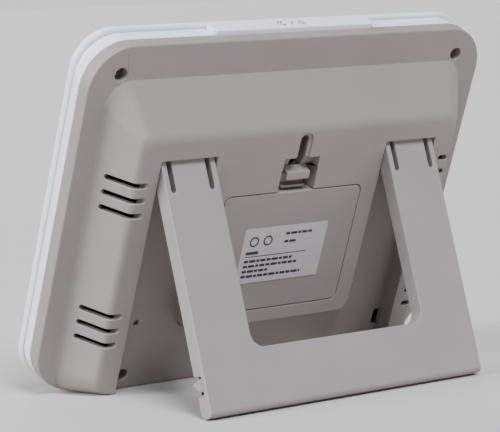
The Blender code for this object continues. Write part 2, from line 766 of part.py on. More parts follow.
def build_boards(unit):
    bm = slab(rounded(BOARD_HALF, BOARD_LOW, BOARD_HIGH, CASE_CORNER - 6 * MM, steps=3),
              board_front(), BOARD_BACK)
    board = new_object("main_board", bm, unit, "board")
    holes = bmesh.new()
    for place, _, _ in screw_places():
        add_post(holes, SCREW_BOSS + FIT, place, -20 * MM, 20 * MM)
    cut(board, holes, "boss_clearance")

    back = BOARD_BACK + GAP
    chip = box(-8 * MM, 8 * MM, 114 * MM, 130 * MM, back, back + 1.6 * MM)
    new_object("processor", chip, unit, "black")
    receiver = box(38 * MM, 66 * MM, 112 * MM, 128 * MM, back, back + 1.6 * MM)
    new_object("receiver_module", receiver, unit, "board")
    build_coil("receiver_antenna", unit, "brass", 2.0 * MM, 0.5 * MM, 9, 16 * MM,
               Vector((52 * MM, 92 * MM, back + 4.5 * MM)), Vector((0, 1, 0)), 8)
    buzzer = bmesh.new()
    add_post(buzzer, 6.0 * MM, (-58 * MM, 124 * MM), back, back + 3.6 * MM)
    new_object("buzzer", buzzer, unit, "black")
    sensor = box(79 * MM, 90.0 * MM, 84 * MM, 100 * MM, back, back + 1.0 * MM)
    new_object("sensor_board", sensor, unit, "board")
    chip = box(82 * MM, 87 * MM, 90 * MM, 95 * MM, back + 1.0 * MM + GAP, back + 2.6 * MM)
    new_object("humidity_sensor", chip, unit, "white")

    for side, name in both_sides():
        middle = side * (BAR_HALF - 16 * MM)
        low = BOARD_HIGH + GAP
        switch = box(middle - 3 * MM, middle + 3 * MM, low, BAR_STEM_LOW - 2 * GAP - BAR_TRAVEL,
                     BAR_FRONT + CASE_WALL + GAP, BAR_STEM_BACK - GAP)
        new_object(f"light_switch_{name}", switch, unit, "black")


def build_reset(unit):
    """A small push pin behind the reset hole, on its own switch."""
    front = CHANNEL_FLOOR - CHANNEL_FLOOR_WALL - 0.9 * MM
    bm = bmesh.new()
    add_post(bm, RESET_RADIUS - FIT, RESET_PLACE, BOARD_BACK + 4 * MM, front + 1.9 * MM, 10)
    new_object("reset_button", bm, unit, "black", (*RESET_PLACE, front))
    x, y = RESET_PLACE
    bm = box(x - 3 * MM, x + 3 * MM, y - 3 * MM, y + 3 * MM, BOARD_BACK + GAP, BOARD_BACK + 3.2 * MM)
    new_object("reset_switch", bm, unit, "black")


def build_coil(name, parent, colour, radius, wire, turns, length, start, along, sides=6, end_radius=None):
    """A coil of round wire from start, along a direction, tapering to end_radius."""
    end_radius = radius if end_radius is None else end_radius
    across = along.orthogonal().normalized()
    aside = along.cross(across)
    steps = turns * 10
    centres = []
    for step in range(steps + 1):
        share = step / steps
        turn = 2 * math.pi * turns * share
        reach = radius + (end_radius - radius) * share
        centres.append(start + along * length * share
                       + (across * math.cos(turn) + aside * math.sin(turn)) * reach)
    rings = []
    for i, centre in enumerate(centres):
        ahead = (centres[min(i + 1, steps)] - centres[max(i - 1, 0)]).normalized()
        side = ahead.cross(along).normalized()
        up = side.cross(ahead)
        rings.append([
            centre + (side * math.cos(2 * math.pi * k / sides) + up * math.sin(2 * math.pi * k / sides))
            * wire / 2
            for k in range(sides)
        ])
    bm = bmesh.new()
    loft(bm, rings)
    return new_object(name, bm, parent, colour)


# ---- batteries ----


def cell_middle(number):
    """How far up cell number lies, counted from the lowest."""
    middle = (DOOR_LOW + DOOR_HIGH) / 2
    return middle + (number - (CELL_COUNT - 1) / 2) * CELL_PITCH


def build_batteries(unit):
    depth = well_front() + GAP + CELL_RADIUS
    half, _, _ = well_size()
    for number in range(CELL_COUNT):
        up = cell_middle(number)
        side = 1 if number % 2 else -1
        bm = bmesh.new()
        nub = side * CELL_LENGTH / 2
        loft(bm, [
            [(x, y, z) for y, z in circle(radius, up, depth)]
            for x, radius in (
                (-nub, CELL_RADIUS),
                (nub, CELL_RADIUS),
                (nub + side * 0.01 * MM, CELL_NUB_RADIUS),
                (nub + side * CELL_NUB, CELL_NUB_RADIUS),
            )
        ])
        new_object(f"battery_cell_{number + 1}", bm, unit, "cell")
        plate = half - GAP - CONTACT_THICK
        start = Vector((-side * (plate - GAP / 2 - SPRING_WIRE / 2), up, depth))
        length = plate - CELL_LENGTH / 2 - GAP - SPRING_WIRE
        build_coil(f"battery_spring_{number + 1}", unit, "steel", 4.6 * MM, SPRING_WIRE, SPRING_TURNS,
                   length - GAP, start, Vector((side, 0, 0)), 6, 2.6 * MM)
    for side, name in both_sides():
        low, high = cell_middle(0) - 5 * MM, cell_middle(CELL_COUNT - 1) + 5 * MM
        ends = sorted((side * (half - GAP), side * (half - GAP - CONTACT_THICK)))
        plate = box(*ends, low, high, depth - 5 * MM, depth + 5 * MM)
        new_object(f"battery_contact_{name}", plate, unit, "steel")


def build_door(unit):
    """The door turns out on two tabs at its lower edge. It is drawn from its hinge line."""
    hinge = Vector((0, DOOR_LOW - 0.1 * MM, HUMP_BACK))
    empty = frame_empty("door_hinge", unit, hinge)
    outline = rounded(DOOR_HALF, DOOR_LOW, DOOR_HIGH, DOOR_CORNER, steps=3)
    outline = [(x, y - hinge.y) for x, y in outline]
    door = new_object("battery_door", slab(outline, -DOOR_THICK, 0), empty, "beige")
    tabs = bmesh.new()
    for side, _ in both_sides():
        middle = side * DOOR_TAB_PLACE
        foot = [
            (0.3 * MM, -DOOR_THICK + 0.4 * MM),
            (1.5 * MM, -DOOR_THICK + 0.4 * MM),
            (1.5 * MM, -DOOR_THICK - 1.7 * MM),
            (-DOOR_TAB_REACH, -DOOR_THICK - 1.7 * MM),
            (-DOOR_TAB_REACH, -DOOR_THICK - 0.5 * MM),
            (0.3 * MM, -DOOR_THICK - 0.5 * MM),
        ]
        add_profile(tabs, foot, middle - DOOR_TAB_HALF, middle + DOOR_TAB_HALF)
    join(door, tabs, "door_tabs")
    label = box(-LABEL_HALF, LABEL_HALF, LABEL_LOW - hinge.y, LABEL_HIGH - hinge.y,
                0.02 * MM, 0.02 * MM + LABEL_THICK)
    new_object("rating_label", label, empty, "paper")
    build_latch(empty, hinge)


def build_latch(door_hinge, hinge):
    """The latch: a strip that dips behind the door's top edge and comes back up to a finger tab."""
    root = DOOR_HIGH + LATCH_CLEAR - hinge.y
    strip = LATCH_STRIP
    dip = RECESS_BACK + LATCH_CLEAR - HUMP_BACK
    low, high = LATCH_LOW - hinge.y, LATCH_HIGH - hinge.y
    stem = high - 0.4 * MM
    outline = [
        (root, -0.9 * MM),
        (root, dip),
        (stem, dip),
        (stem, -5.0 * MM),
        (high + 0.7 * MM, -4.6 * MM),
        (high, -3.0 * MM),
        (high, -0.4 * MM),
        (low, -0.4 * MM),
        (low, -1.8 * MM),
        (stem - strip, -2.2 * MM),
        (stem - strip, dip + strip),
        (root + strip, dip + strip),
        (root + strip, -0.9 * MM),
    ]
    bm = bmesh.new()
    add_profile(bm, outline, -LATCH_HALF, LATCH_HALF)
    new_object("battery_latch", bm, door_hinge, "beige", (0, root + strip / 2, dip + strip / 2))


# ---- stand ----


def stand_outline(grow=0.0):
    """The stand seen face on, folded, from its pivot: (across, along) points with along running down."""
    outer, inner = STAND_HALF - grow, STAND_WINDOW_HALF + grow
    foot, crotch = -STAND_LENGTH + grow, -STAND_WINDOW_END - grow
    top = STAND_THICK / 2
    corner, steps = STAND_WINDOW_CORNER, 4
    points = [(-outer, top), (-outer, foot), (outer, foot), (outer, top), (inner, top)]
    for side, start in ((1, 0), (-1, -90)):
        for step in range(steps + 1):
            angle = math.radians(start - 90 * step / steps)
            points.append((
                side * (inner - corner) + corner * math.cos(angle),
                crotch + corner + corner * math.sin(angle),
            ))
    points.append((-inner, top))
    return points


def stand_side():
    """The stand from the side, folded: (along, back) points, round at the pivot and at the foot."""
    half, edge = STAND_THICK / 2, STAND_EDGE
    points = [(STAND_HEEL, half)]
    for step in range(7):
        angle = math.radians(60 - 150 * step / 6)
        points.append((half * math.cos(angle), half * math.sin(angle)))
    points.extend((-STAND_LENGTH + edge + edge * math.sin(a), -half + edge - edge * math.cos(a))
                  for a in (math.radians(-22.5 * step) for step in range(5)))
    points.extend((-STAND_LENGTH + edge - edge * math.cos(a), half - edge + edge * math.sin(a))
                  for a in (math.radians(22.5 * step) for step in range(5)))
    return points


def build_stand(unit):
    """The stand in its opened place, drawn from its pivot line."""
    pivot = Vector((0, PIVOT_UP, PIVOT_BACK))
    empty = frame_empty("stand_pivot", unit, pivot, STAND_ANGLE * -1)
    half = STAND_THICK / 2
    bm = bmesh.new()
    add_profile(bm, stand_side(), -STAND_HALF, STAND_HALF)
    stand = new_object("stand", bm, empty, "beige")
    window = bmesh.new()
    inner = [(x, y) for x, y in stand_outline()[4:]]
    inner = [(x, y + (20 * MM if i in (0, len(inner) - 1) else 0)) for i, (x, y) in enumerate(inner)]
    add_slab(window, inner, -10 * MM, 10 * MM)
    cut(stand, window, "stand_window")
    hollow = bmesh.new()
    leg_top = -FINGER_LENGTH - 1.5 * MM
    outer, inside = STAND_HALF - STAND_FLANGE, STAND_WINDOW_HALF + STAND_FLANGE
    foot, bar_top = -STAND_LENGTH + STAND_FLANGE, -STAND_WINDOW_END - STAND_FLANGE
    add_slab(hollow, [
        (-outer, leg_top), (-outer, foot), (outer, foot), (outer, leg_top),
        (inside, leg_top), (inside, bar_top), (-inside, bar_top), (-inside, leg_top),
    ], -10 * MM, half - STAND_PLATE)
    cut(stand, hollow, "stand_hollow")
    slots = bmesh.new()
    for side, _ in both_sides():
        for edge, inward in ((STAND_HALF, -1), (STAND_WINDOW_HALF, 1)):
            near = edge + inward * FINGER_WIDTH
            ends = sorted((side * near, side * (near + inward * FINGER_SLOT)))
            add_box(slots, *ends, -FINGER_LENGTH, 10 * MM, -10 * MM, 10 * MM)
    cut(stand, slots, "finger_slots")
    cut(stand, tooth_notches(), "tooth_notches")
    teeth = bmesh.new()
    for side, _ in both_sides():
        ends = sorted((side * STAND_HALF, side * (STAND_HALF - STAND_FLANGE)))
        add_profile(teeth, [
            (-TOOTH_PLACE + 2.0 * MM, -half + NOTCH_DEPTH + 0.2 * MM),
            (-TOOTH_PLACE + 0.6 * MM, -half - TOOTH_PROUD + 0.3 * MM),
            (-TOOTH_PLACE - 0.4 * MM, -half - TOOTH_PROUD),
            (-TOOTH_PLACE - 2.6 * MM, -half + 0.6 * MM),
            (-TOOTH_PLACE - 4.0 * MM, -half + NOTCH_DEPTH + 0.2 * MM),
        ], *ends)
    join(stand, teeth, "teeth")
    pivots = bmesh.new()
    for side, _ in both_sides():
        for edge, outward in ((STAND_HALF, 1), (STAND_WINDOW_HALF, -1)):
            reach = edge + outward * (PIVOT_REACH - GAP)
            ends = sorted((side * (edge - outward * 1.0 * MM), side * reach))
            add_rod(pivots, PIVOT_RADIUS, *ends, 0, 0)
    join(stand, pivots, "pivots")


def tooth_notches():
    """The gap in each outer flange that the tooth stands in."""
    half = STAND_THICK / 2
    bm = bmesh.new()
    for side, _ in both_sides():
        ends = sorted((side * (STAND_HALF + 1 * MM), side * (STAND_HALF - STAND_FLANGE - 0.6 * MM)))
        add_profile(bm, [
            (-TOOTH_PLACE + 3.0 * MM, -half - 1 * MM),
            (-TOOTH_PLACE + 2.4 * MM, -half + NOTCH_DEPTH),
            (-TOOTH_PLACE - 4.6 * MM, -half + NOTCH_DEPTH),
            (-TOOTH_PLACE - 6.0 * MM, -half - 1 * MM),
        ], *ends)
    return bm


# ---- fasteners ----


def build_screws(unit):
    """Four self-tapping screws: a domed head in its well and a shank into the front case."""
    for number, (middle, back, seat) in enumerate(screw_places(), 1):
        under = back - seat + GAP
        tip = max(-FRONT_CASE_DEPTH + 2.4 * MM, under - SCREW_LENGTH)
        top = under + SCREW_HEAD_HEIGHT
        bm = bmesh.new()
        loft(bm, [
            [(x, y, z) for x, y in circle(radius, *middle, 12)]
            for z, radius in (
                (tip, SCREW_SHANK),
                (under, SCREW_SHANK),
                (under + 0.01 * MM, SCREW_HEAD),
                (under + 0.6 * SCREW_HEAD_HEIGHT, SCREW_HEAD),
                (top, 0.6 * SCREW_HEAD),
            )
        ])
        screw = new_object(f"case_screw_{number}", bm, unit, "steel")
        for name, arm, blade in (("a", 1.2 * MM, 0.3 * MM), ("b", 0.3 * MM, 1.2 * MM)):
            slot = box(middle[0] - arm, middle[0] + arm, middle[1] - blade, middle[1] + blade,
                       top - 0.8 * MM, top + 1 * MM)
            cut(screw, slot, f"cross_{number}{name}")


def main():
    clear_scene()
    unit = frame_empty("unit", None)
    unit.matrix_world = unit_frame()
    build_rear_cover(unit)
    build_front_case(unit)
    build_front_bezel(unit)
    build_display(unit)
    build_keys(unit)
    build_light_bar(unit)
    build_boards(unit)
    build_reset(unit)
    build_batteries(unit)
    build_door(unit)
    build_stand(unit)
    build_screws(unit)


if __name__ == "__main__":
    main()
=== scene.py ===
"""The looks of the desktop weather station display unit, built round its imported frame."""

import itertools
import math

import bmesh
import bpy
from mathutils import Matrix, Vector


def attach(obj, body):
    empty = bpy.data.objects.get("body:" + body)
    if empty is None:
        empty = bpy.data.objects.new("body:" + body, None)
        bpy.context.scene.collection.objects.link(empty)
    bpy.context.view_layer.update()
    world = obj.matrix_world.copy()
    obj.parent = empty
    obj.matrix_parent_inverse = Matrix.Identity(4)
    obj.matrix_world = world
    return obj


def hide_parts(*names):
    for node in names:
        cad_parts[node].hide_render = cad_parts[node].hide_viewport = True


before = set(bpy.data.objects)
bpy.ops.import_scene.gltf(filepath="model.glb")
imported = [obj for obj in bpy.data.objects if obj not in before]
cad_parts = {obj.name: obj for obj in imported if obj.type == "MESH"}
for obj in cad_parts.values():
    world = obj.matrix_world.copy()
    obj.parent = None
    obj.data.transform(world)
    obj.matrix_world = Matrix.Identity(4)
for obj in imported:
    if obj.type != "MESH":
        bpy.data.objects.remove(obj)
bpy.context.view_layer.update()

MM = 0.001

# The unit's own frame: x across, seen from behind; y up its face; z out of its back, from the seam.
LEAN = math.radians(20.0)
GAP = 0.3 * MM
FIT = 0.4 * MM
PAST = 5.0 * MM  # how far a cutter runs on past a face
RUN_OUT = 10.0 * MM  # how far it runs on past the end of a deep opening

SEAM_HALF = 102.9 * MM
SEAM_TOP = 156.4 * MM
SEAM_BOTTOM = 0.5 * MM
CASE_CORNER = 19.6 * MM
CASE_WALL = 2.0 * MM

RIM_BACK = 6.0 * MM
RIM_INSET = 0.3 * MM
RIM_EDGE = 0.8 * MM

HUMP_BACK = 22.5 * MM
HUMP_BASE_HALF = 93.3 * MM
HUMP_BASE_TOP = 141.3 * MM
HUMP_BASE_CORNER = 11.0 * MM
HUMP_HALF = 82.8 * MM
HUMP_TOP = 122.4 * MM
HUMP_CORNER = 5.0 * MM
HUMP_LOW_CORNER = 9.0 * MM
HUMP_EDGE = 2.6 * MM

FRONT_CASE_DEPTH = 7.6 * MM
FRONT_CASE_WALL = 1.6 * MM
BAND_SIDE_DRAW = 1.9 * MM
BAND_TOP_DRAW = 0.3 * MM
BEZEL_HALF = SEAM_HALF - 0.9 * MM
BEZEL_TOP = SEAM_TOP + 1.4 * MM
BEZEL_LOW = SEAM_BOTTOM - 0.6 * MM
BEZEL_CORNER = CASE_CORNER - 2.5 * MM
BEZEL_FRONT = 11.1 * MM
EDGE_CHAMFER = 0.5 * MM

WINDOW_HALF = 78.0 * MM
WINDOW_LOW = 36.0 * MM
WINDOW_HIGH = 138.0 * MM
WINDOW_CORNER = 3.0 * MM
LENS_LEDGE = 2.0 * MM
LENS_THICK = 1.3 * MM

STAND_HALF = 71.8 * MM
STAND_WINDOW_HALF = 45.2 * MM
STAND_LENGTH = 102.6 * MM
STAND_WINDOW_END = 77.6 * MM
STAND_WINDOW_CORNER = 6.0 * MM
STAND_THICK = 7.0 * MM
STAND_PLATE = 2.0 * MM
STAND_FLANGE = 1.8 * MM
STAND_EDGE = 2.5 * MM
STAND_HEEL = STAND_THICK / 2 - 1.5 * MM
STAND_ROUND = 0.45 * MM
FINGER_WIDTH = 2.6 * MM
FINGER_SLOT = 2.4 * MM
FINGER_LENGTH = 11.8 * MM
FINGER_ROOT = 1.5 * MM  # solid plastic at the fingers' roots
PIVOT_RADIUS = 2.0 * MM
PIVOT_REACH = 1.5 * MM
PIVOT_UP = 108.6 * MM
TOOTH_PLACE = 88.1 * MM
TOOTH_PROUD = 1.4 * MM
NOTCH_DEPTH = 4.6 * MM
NOTCH_MARGIN = 0.6 * MM
CATCH_BELOW = 4.0 * MM
CATCH_ABOVE = 3.4 * MM
CATCH_INSIDE = 1.2 * MM

CHANNEL_FLOOR_WALL = 1.8 * MM
PIVOT_BACK = HUMP_BACK - 0.25 * MM - STAND_THICK / 2
CHANNEL_FLOOR = PIVOT_BACK - STAND_THICK / 2 - 0.35 * MM
CHANNEL_HALF = STAND_HALF + 2 * GAP
CHANNEL_TOP = PIVOT_UP + STAND_THICK / 2 + FIT
BOX_HALF = STAND_WINDOW_HALF - 2 * GAP
BOX_LOW = PIVOT_UP - STAND_WINDOW_END + FIT

CELL_RADIUS = 7.1 * MM
CELL_LENGTH = 49.2 * MM
CELL_NUB_RADIUS = 2.7 * MM
CELL_NUB = 1.3 * MM
SLEEVE_HALF = 26.0 * MM  # half the length over which a cell's colours run
CELL_COUNT = 3
CELL_PITCH = 14.7 * MM
CONTACT_ROOM = 4.0 * MM
WELL_WALL = 1.5 * MM
DOOR_HALF = 36.0 * MM
DOOR_LOW = 38.0 * MM
DOOR_HIGH = 93.0 * MM
DOOR_CORNER = 3.0 * MM
DOOR_THICK = 2.0 * MM
DOOR_SEAT_DEPTH = 6.4 * MM
DOOR_TAB_REACH = 2.0 * MM
DOOR_TAB_HALF = 4.0 * MM
DOOR_TAB_PLACE = 22.0 * MM
DOOR_TAB_THICK = 1.2 * MM
DOOR_TAB_RISE = 1.5 * MM
DOOR_TAB_ROOM = 3.0 * MM
LABEL_HALF = 22.0 * MM
LABEL_LOW = 51.4 * MM
LABEL_HIGH = 77.2 * MM
LABEL_CORNER = 0.8 * MM
LABEL_THICK = 0.15 * MM

RECESS_HALF = 9.5 * MM
RECESS_HIGH = 108.5 * MM
RECESS_STEP = 103.4 * MM
RECESS_BACK = 14.6 * MM
BOWL_BACK = 17.7 * MM
KEYHOLE_HALF = 3.4 * MM
KEYHOLE_SLOT_HALF = 2.0 * MM
KEYHOLE_TOP = 119.8 * MM
KEYHOLE_WALL = 2.9 * MM  # how deep the wall round the slot reaches
KEYHOLE_STEP = 1.1 * MM
LATCH_HALF = 6.0 * MM
LATCH_LOW = 98.4 * MM
LATCH_HIGH = 102.2 * MM
LATCH_STRIP = 1.2 * MM
LATCH_CLEAR = 0.8 * MM
LATCH_SINK = 0.4 * MM
LATCH_FOOT = 2.6 * MM
LATCH_ROUND = 0.25 * MM

VENT_WIDTH = 2.3 * MM
VENT_PITCH = 6.65 * MM
VENT_COUNT = 3
VENT_GROUPS = (102.3 * MM, 43.2 * MM)
VENT_INNER = 77.0 * MM
VENT_FRONT = 10.5 * MM
VENT_REACH = 4.0 * MM  # how deep each slot is cut, square to the wall

SCREW_HEAD = 2.4 * MM
SCREW_HEAD_HEIGHT = 1.6 * MM
SCREW_SHANK = 1.1 * MM
SCREW_LENGTH = 10.0 * MM
SCREW_WELL = 2.8 * MM
SCREW_BOSS = 4.3 * MM
SCREW_FLOOR = 2.4 * MM  # plastic left under its tip
PILOT_FLOOR = 2.0 * MM  # and under its pilot hole
CROSS_ARM = 1.25 * MM
CROSS_BLADE = 0.3 * MM
CROSS_DEPTH = 0.9 * MM
UPPER_SCREW = (88.0 * MM, 144.1 * MM)
UPPER_SEAT = 5.2 * MM
LOWER_SCREW = (65.2 * MM, 9.7 * MM)
LOWER_SEAT = 8.6 * MM
RESET_PLACE = (-63.0 * MM, 34.2 * MM)
RESET_RADIUS = 1.3 * MM

BAR_HALF = 42.0 * MM
BAR_FRONT = -7.3 * MM
BAR_BACK = 0.7 * MM
BAR_TOP = SEAM_TOP + 2.3 * MM
BAR_LOW = SEAM_TOP - 1.5 * MM
BAR_CORNER = 2.4 * MM
BAR_ROUND = 0.7 * MM

KEY_COUNT = 5
KEY_PITCH = 28.0 * MM
KEY_HALF = 8.0 * MM
KEY_HALF_HEIGHT = 2.9 * MM
KEY_UP = 20.5 * MM
KEY_PROUD = 0.7 * MM
KEY_LIP = 0.9 * MM
KEY_LIP_THICK = 0.7 * MM

SIDES = (-1, 1)
CORNER_STEPS = 24
EDGE_STEPS = 8
FINE_EDGE_STEPS = 6
ROUND_STEPS = 48
SMALL_ROUND_STEPS = 32
HOLE_STEPS = 24
PILL_STEPS = 12
PILL = 0.98  # how much of its half-width rounds a pill's ends, so that they keep a short flat
STEP = 0.01 * MM  # the rise of a face that lies almost square to the axis of a loft
COVER_ROUND = 0.35 * MM
SKIN = 0.04 * MM  # printed marks stand this far off the surface below

COS_LEAN = math.cos(LEAN)
SIN_LEAN = math.sin(LEAN)


def stand_opening():
    """The angle between the stand and the unit's back at which the foot just reaches the ground."""
    pivot_height = PIVOT_UP * COS_LEAN - (PIVOT_BACK - RIM_BACK) * SIN_LEAN
    along = STAND_LENGTH - STAND_EDGE
    across = STAND_THICK / 2 - STAND_EDGE
    reach = math.hypot(along, across)
    return LEAN + math.atan2(across, along) + math.acos((pivot_height - STAND_EDGE) / reach)


STAND_ANGLE = stand_opening()


def depth_middle():
    front = -BEZEL_FRONT * COS_LEAN + (BEZEL_LOW + 2 * EDGE_CHAMFER) * SIN_LEAN
    pivot = PIVOT_BACK * COS_LEAN + PIVOT_UP * SIN_LEAN
    slope = STAND_ANGLE - LEAN
    along = STAND_LENGTH - STAND_EDGE
    across = STAND_THICK / 2 - STAND_EDGE
    foot = pivot + along * math.sin(slope) + across * math.cos(slope) + STAND_EDGE
    return (front + foot) / 2


def unit_frame():
    turn = Matrix(((-1, 0, 0), (0, SIN_LEAN, COS_LEAN), (0, COS_LEAN, -SIN_LEAN))).to_4x4()
    return Matrix.Translation((0, -depth_middle(), RIM_BACK * SIN_LEAN)) @ turn


UNIT = unit_frame()
STAND_PLACE = (
    UNIT
    @ Matrix.Translation((0, PIVOT_UP, PIVOT_BACK))
    @ Matrix.Rotation(-STAND_ANGLE, 4, "X")
)


# ---- camera and light ----

CAMERA_PLACE = (0.5909, 0.76762, 0.2031)
CAMERA_FORWARD = (-0.595, -0.792, -0.136)
CAMERA_RIGHT = (-0.799, 0.601, -0.008)
SENSOR_WIDTH = 36.0
FOCAL_LENGTH = 165.8


def make_camera():
    data = bpy.data.cameras.new("camera")
    camera = bpy.data.objects.new("camera", data)
    bpy.context.scene.collection.objects.link(camera)
    forward = Vector(CAMERA_FORWARD).normalized()
    right = Vector(CAMERA_RIGHT)
    right = (right - forward * right.dot(forward)).normalized()
    up = right.cross(forward)
    turn = Matrix((right, up, -forward)).transposed().to_4x4()
    camera.matrix_world = Matrix.Translation(CAMERA_PLACE) @ turn
    data.sensor_width = SENSOR_WIDTH
    data.lens = FOCAL_LENGTH
    data.clip_start = 0.02
    data.clip_end = 20.0
    bpy.context.scene.camera = camera


def soft_sun(name, direction, power, spread, colour=(1, 1, 1)):
    """A broad, even lamp so far away that it lights the whole floor alike."""
    data = bpy.data.lights.new(name, "SUN")
    data.energy = power
    data.angle = math.radians(spread)
    data.color = colour
    light = bpy.data.objects.new(name, data)
    bpy.context.scene.collection.objects.link(light)
    light.rotation_euler = (-Vector(direction)).to_track_quat("-Z", "Y").to_euler()
    light.location = direction


def make_lights():
    soft_sun("top_light", (0.12, 0.55, 0.84), 5.3, 28, (0.88, 0.95, 1.0))
    soft_sun("left_light", (0.90, -0.16, 0.40), 5.2, 28, (0.87, 0.93, 1.0))
    soft_sun("front_light", (-0.30, -0.80, 0.50), 0.8, 40)
    make_surround()


def make_surround():
    """A pale surround: white round the horizon, dim and cool overhead."""
    world = bpy.data.worlds.new("studio")
    world.use_nodes = True
    tree = world.node_tree
    place = tree.nodes.new("ShaderNodeTexCoord")
    height = tree.nodes.new("ShaderNodeSeparateXYZ")
    ramp = tree.nodes.new("ShaderNodeValToRGB")
    low, high = ramp.color_ramp.elements
    low.position, low.color = 0.14, (1.0, 1.0, 1.0, 1)
    high.position, high.color = 0.34, (0.10, 0.11, 0.125, 1)
    tree.links.new(place.outputs["Generated"], height.inputs["Vector"])
    tree.links.new(height.outputs["Z"], ramp.inputs["Fac"])
    tree.links.new(ramp.outputs["Color"], tree.nodes["Background"].inputs["Color"])
    bpy.context.scene.world = world


# ---- materials ----


class Look:
    """A Principled material with the nodes that vary it over the surface."""

    def __init__(self, name, roughness=0.5, metallic=0.0):
        self.material = bpy.data.materials.new(name)
        self.material.use_nodes = True
        self.tree = self.material.node_tree
        self.shader = self.tree.nodes["Principled BSDF"]
        self.set("Roughness", roughness)
        self.set("Metallic", metallic)
        self.place = self.node("ShaderNodeTexCoord").outputs["Object"]

    def node(self, kind):
        return self.tree.nodes.new(kind)

    def set(self, socket, value):
        self.shader.inputs[socket].default_value = value

    def link(self, start, end):
        self.tree.links.new(start, end)

    def noise(self, scale, detail=2.0, roughness=0.5, stretch=(1, 1, 1)):
        mapping = self.node("ShaderNodeMapping")
        mapping.inputs["Scale"].default_value = stretch
        self.link(self.place, mapping.inputs["Vector"])
        noise = self.node("ShaderNodeTexNoise")
        noise.inputs["Scale"].default_value = scale
        noise.inputs["Detail"].default_value = detail
        noise.inputs["Roughness"].default_value = roughness
        self.link(mapping.outputs["Vector"], noise.inputs["Vector"])
        return noise.outputs["Fac"]

    def ramp(self, source, stops):
        ramp = self.node("ShaderNodeValToRGB")
        ramp.color_ramp.elements[0].position = stops[0][0]
        ramp.color_ramp.elements[0].color = (*stops[0][1], 1)
        ramp.color_ramp.elements[1].position = stops[-1][0]
        ramp.color_ramp.elements[1].color = (*stops[-1][1], 1)
        for position, colour in stops[1:-1]:
            ramp.color_ramp.elements.new(position).color = (*colour, 1)
        self.link(source, ramp.inputs["Fac"])
        return ramp.outputs["Color"]

    def colour(self, source):
        self.link(source, self.shader.inputs["Base Color"])

    def rough_between(self, source, low, high):
        spread = self.node("ShaderNodeMapRange")
        spread.inputs["To Min"].default_value = low
        spread.inputs["To Max"].default_value = high
        self.link(source, spread.inputs["Value"])
        self.link(spread.outputs["Result"], self.shader.inputs["Roughness"])

    def bump(self, source, height, strength=1.0):
        bump = self.node("ShaderNodeBump")
        bump.inputs["Strength"].default_value = strength
        bump.inputs["Distance"].default_value = height
        self.link(source, bump.inputs["Height"])
        self.link(bump.outputs["Normal"], self.shader.inputs["Normal"])


def shade(colour, factor):
    return tuple(min(1.0, c * factor) for c in colour)


def moulded(name, colour, low, high, grain, height, spread=0.04, coat=0.0):
    """Moulded plastic: a spark-eroded grain, faint flow mottling and a gloss that varies with it."""
    look = Look(name)
    mottling = look.noise(38, 3.0, 0.55)
    look.colour(look.ramp(mottling, (
        (0.25, shade(colour, 1 - spread)),
        (0.55, colour),
        (0.8, shade(colour, 1 + spread)),
    )))
    fine = look.noise(grain, 2.0, 0.6)
    look.rough_between(fine, low, high)
    look.bump(fine, height, 0.55)
    if coat:
        look.set("Coat Weight", coat)
        look.set("Coat Roughness", 0.12)
    return look.material


def two_tone(name, roughness, dark, pale, noise, high=0.7, metallic=0.0):
    """A material that drifts between two close tones. Returns its look and the noise behind it."""
    look = Look(name, roughness, metallic)
    drift = look.noise(*noise)
    look.colour(look.ramp(drift, ((0.3, dark), (high, pale))))
    return look, drift


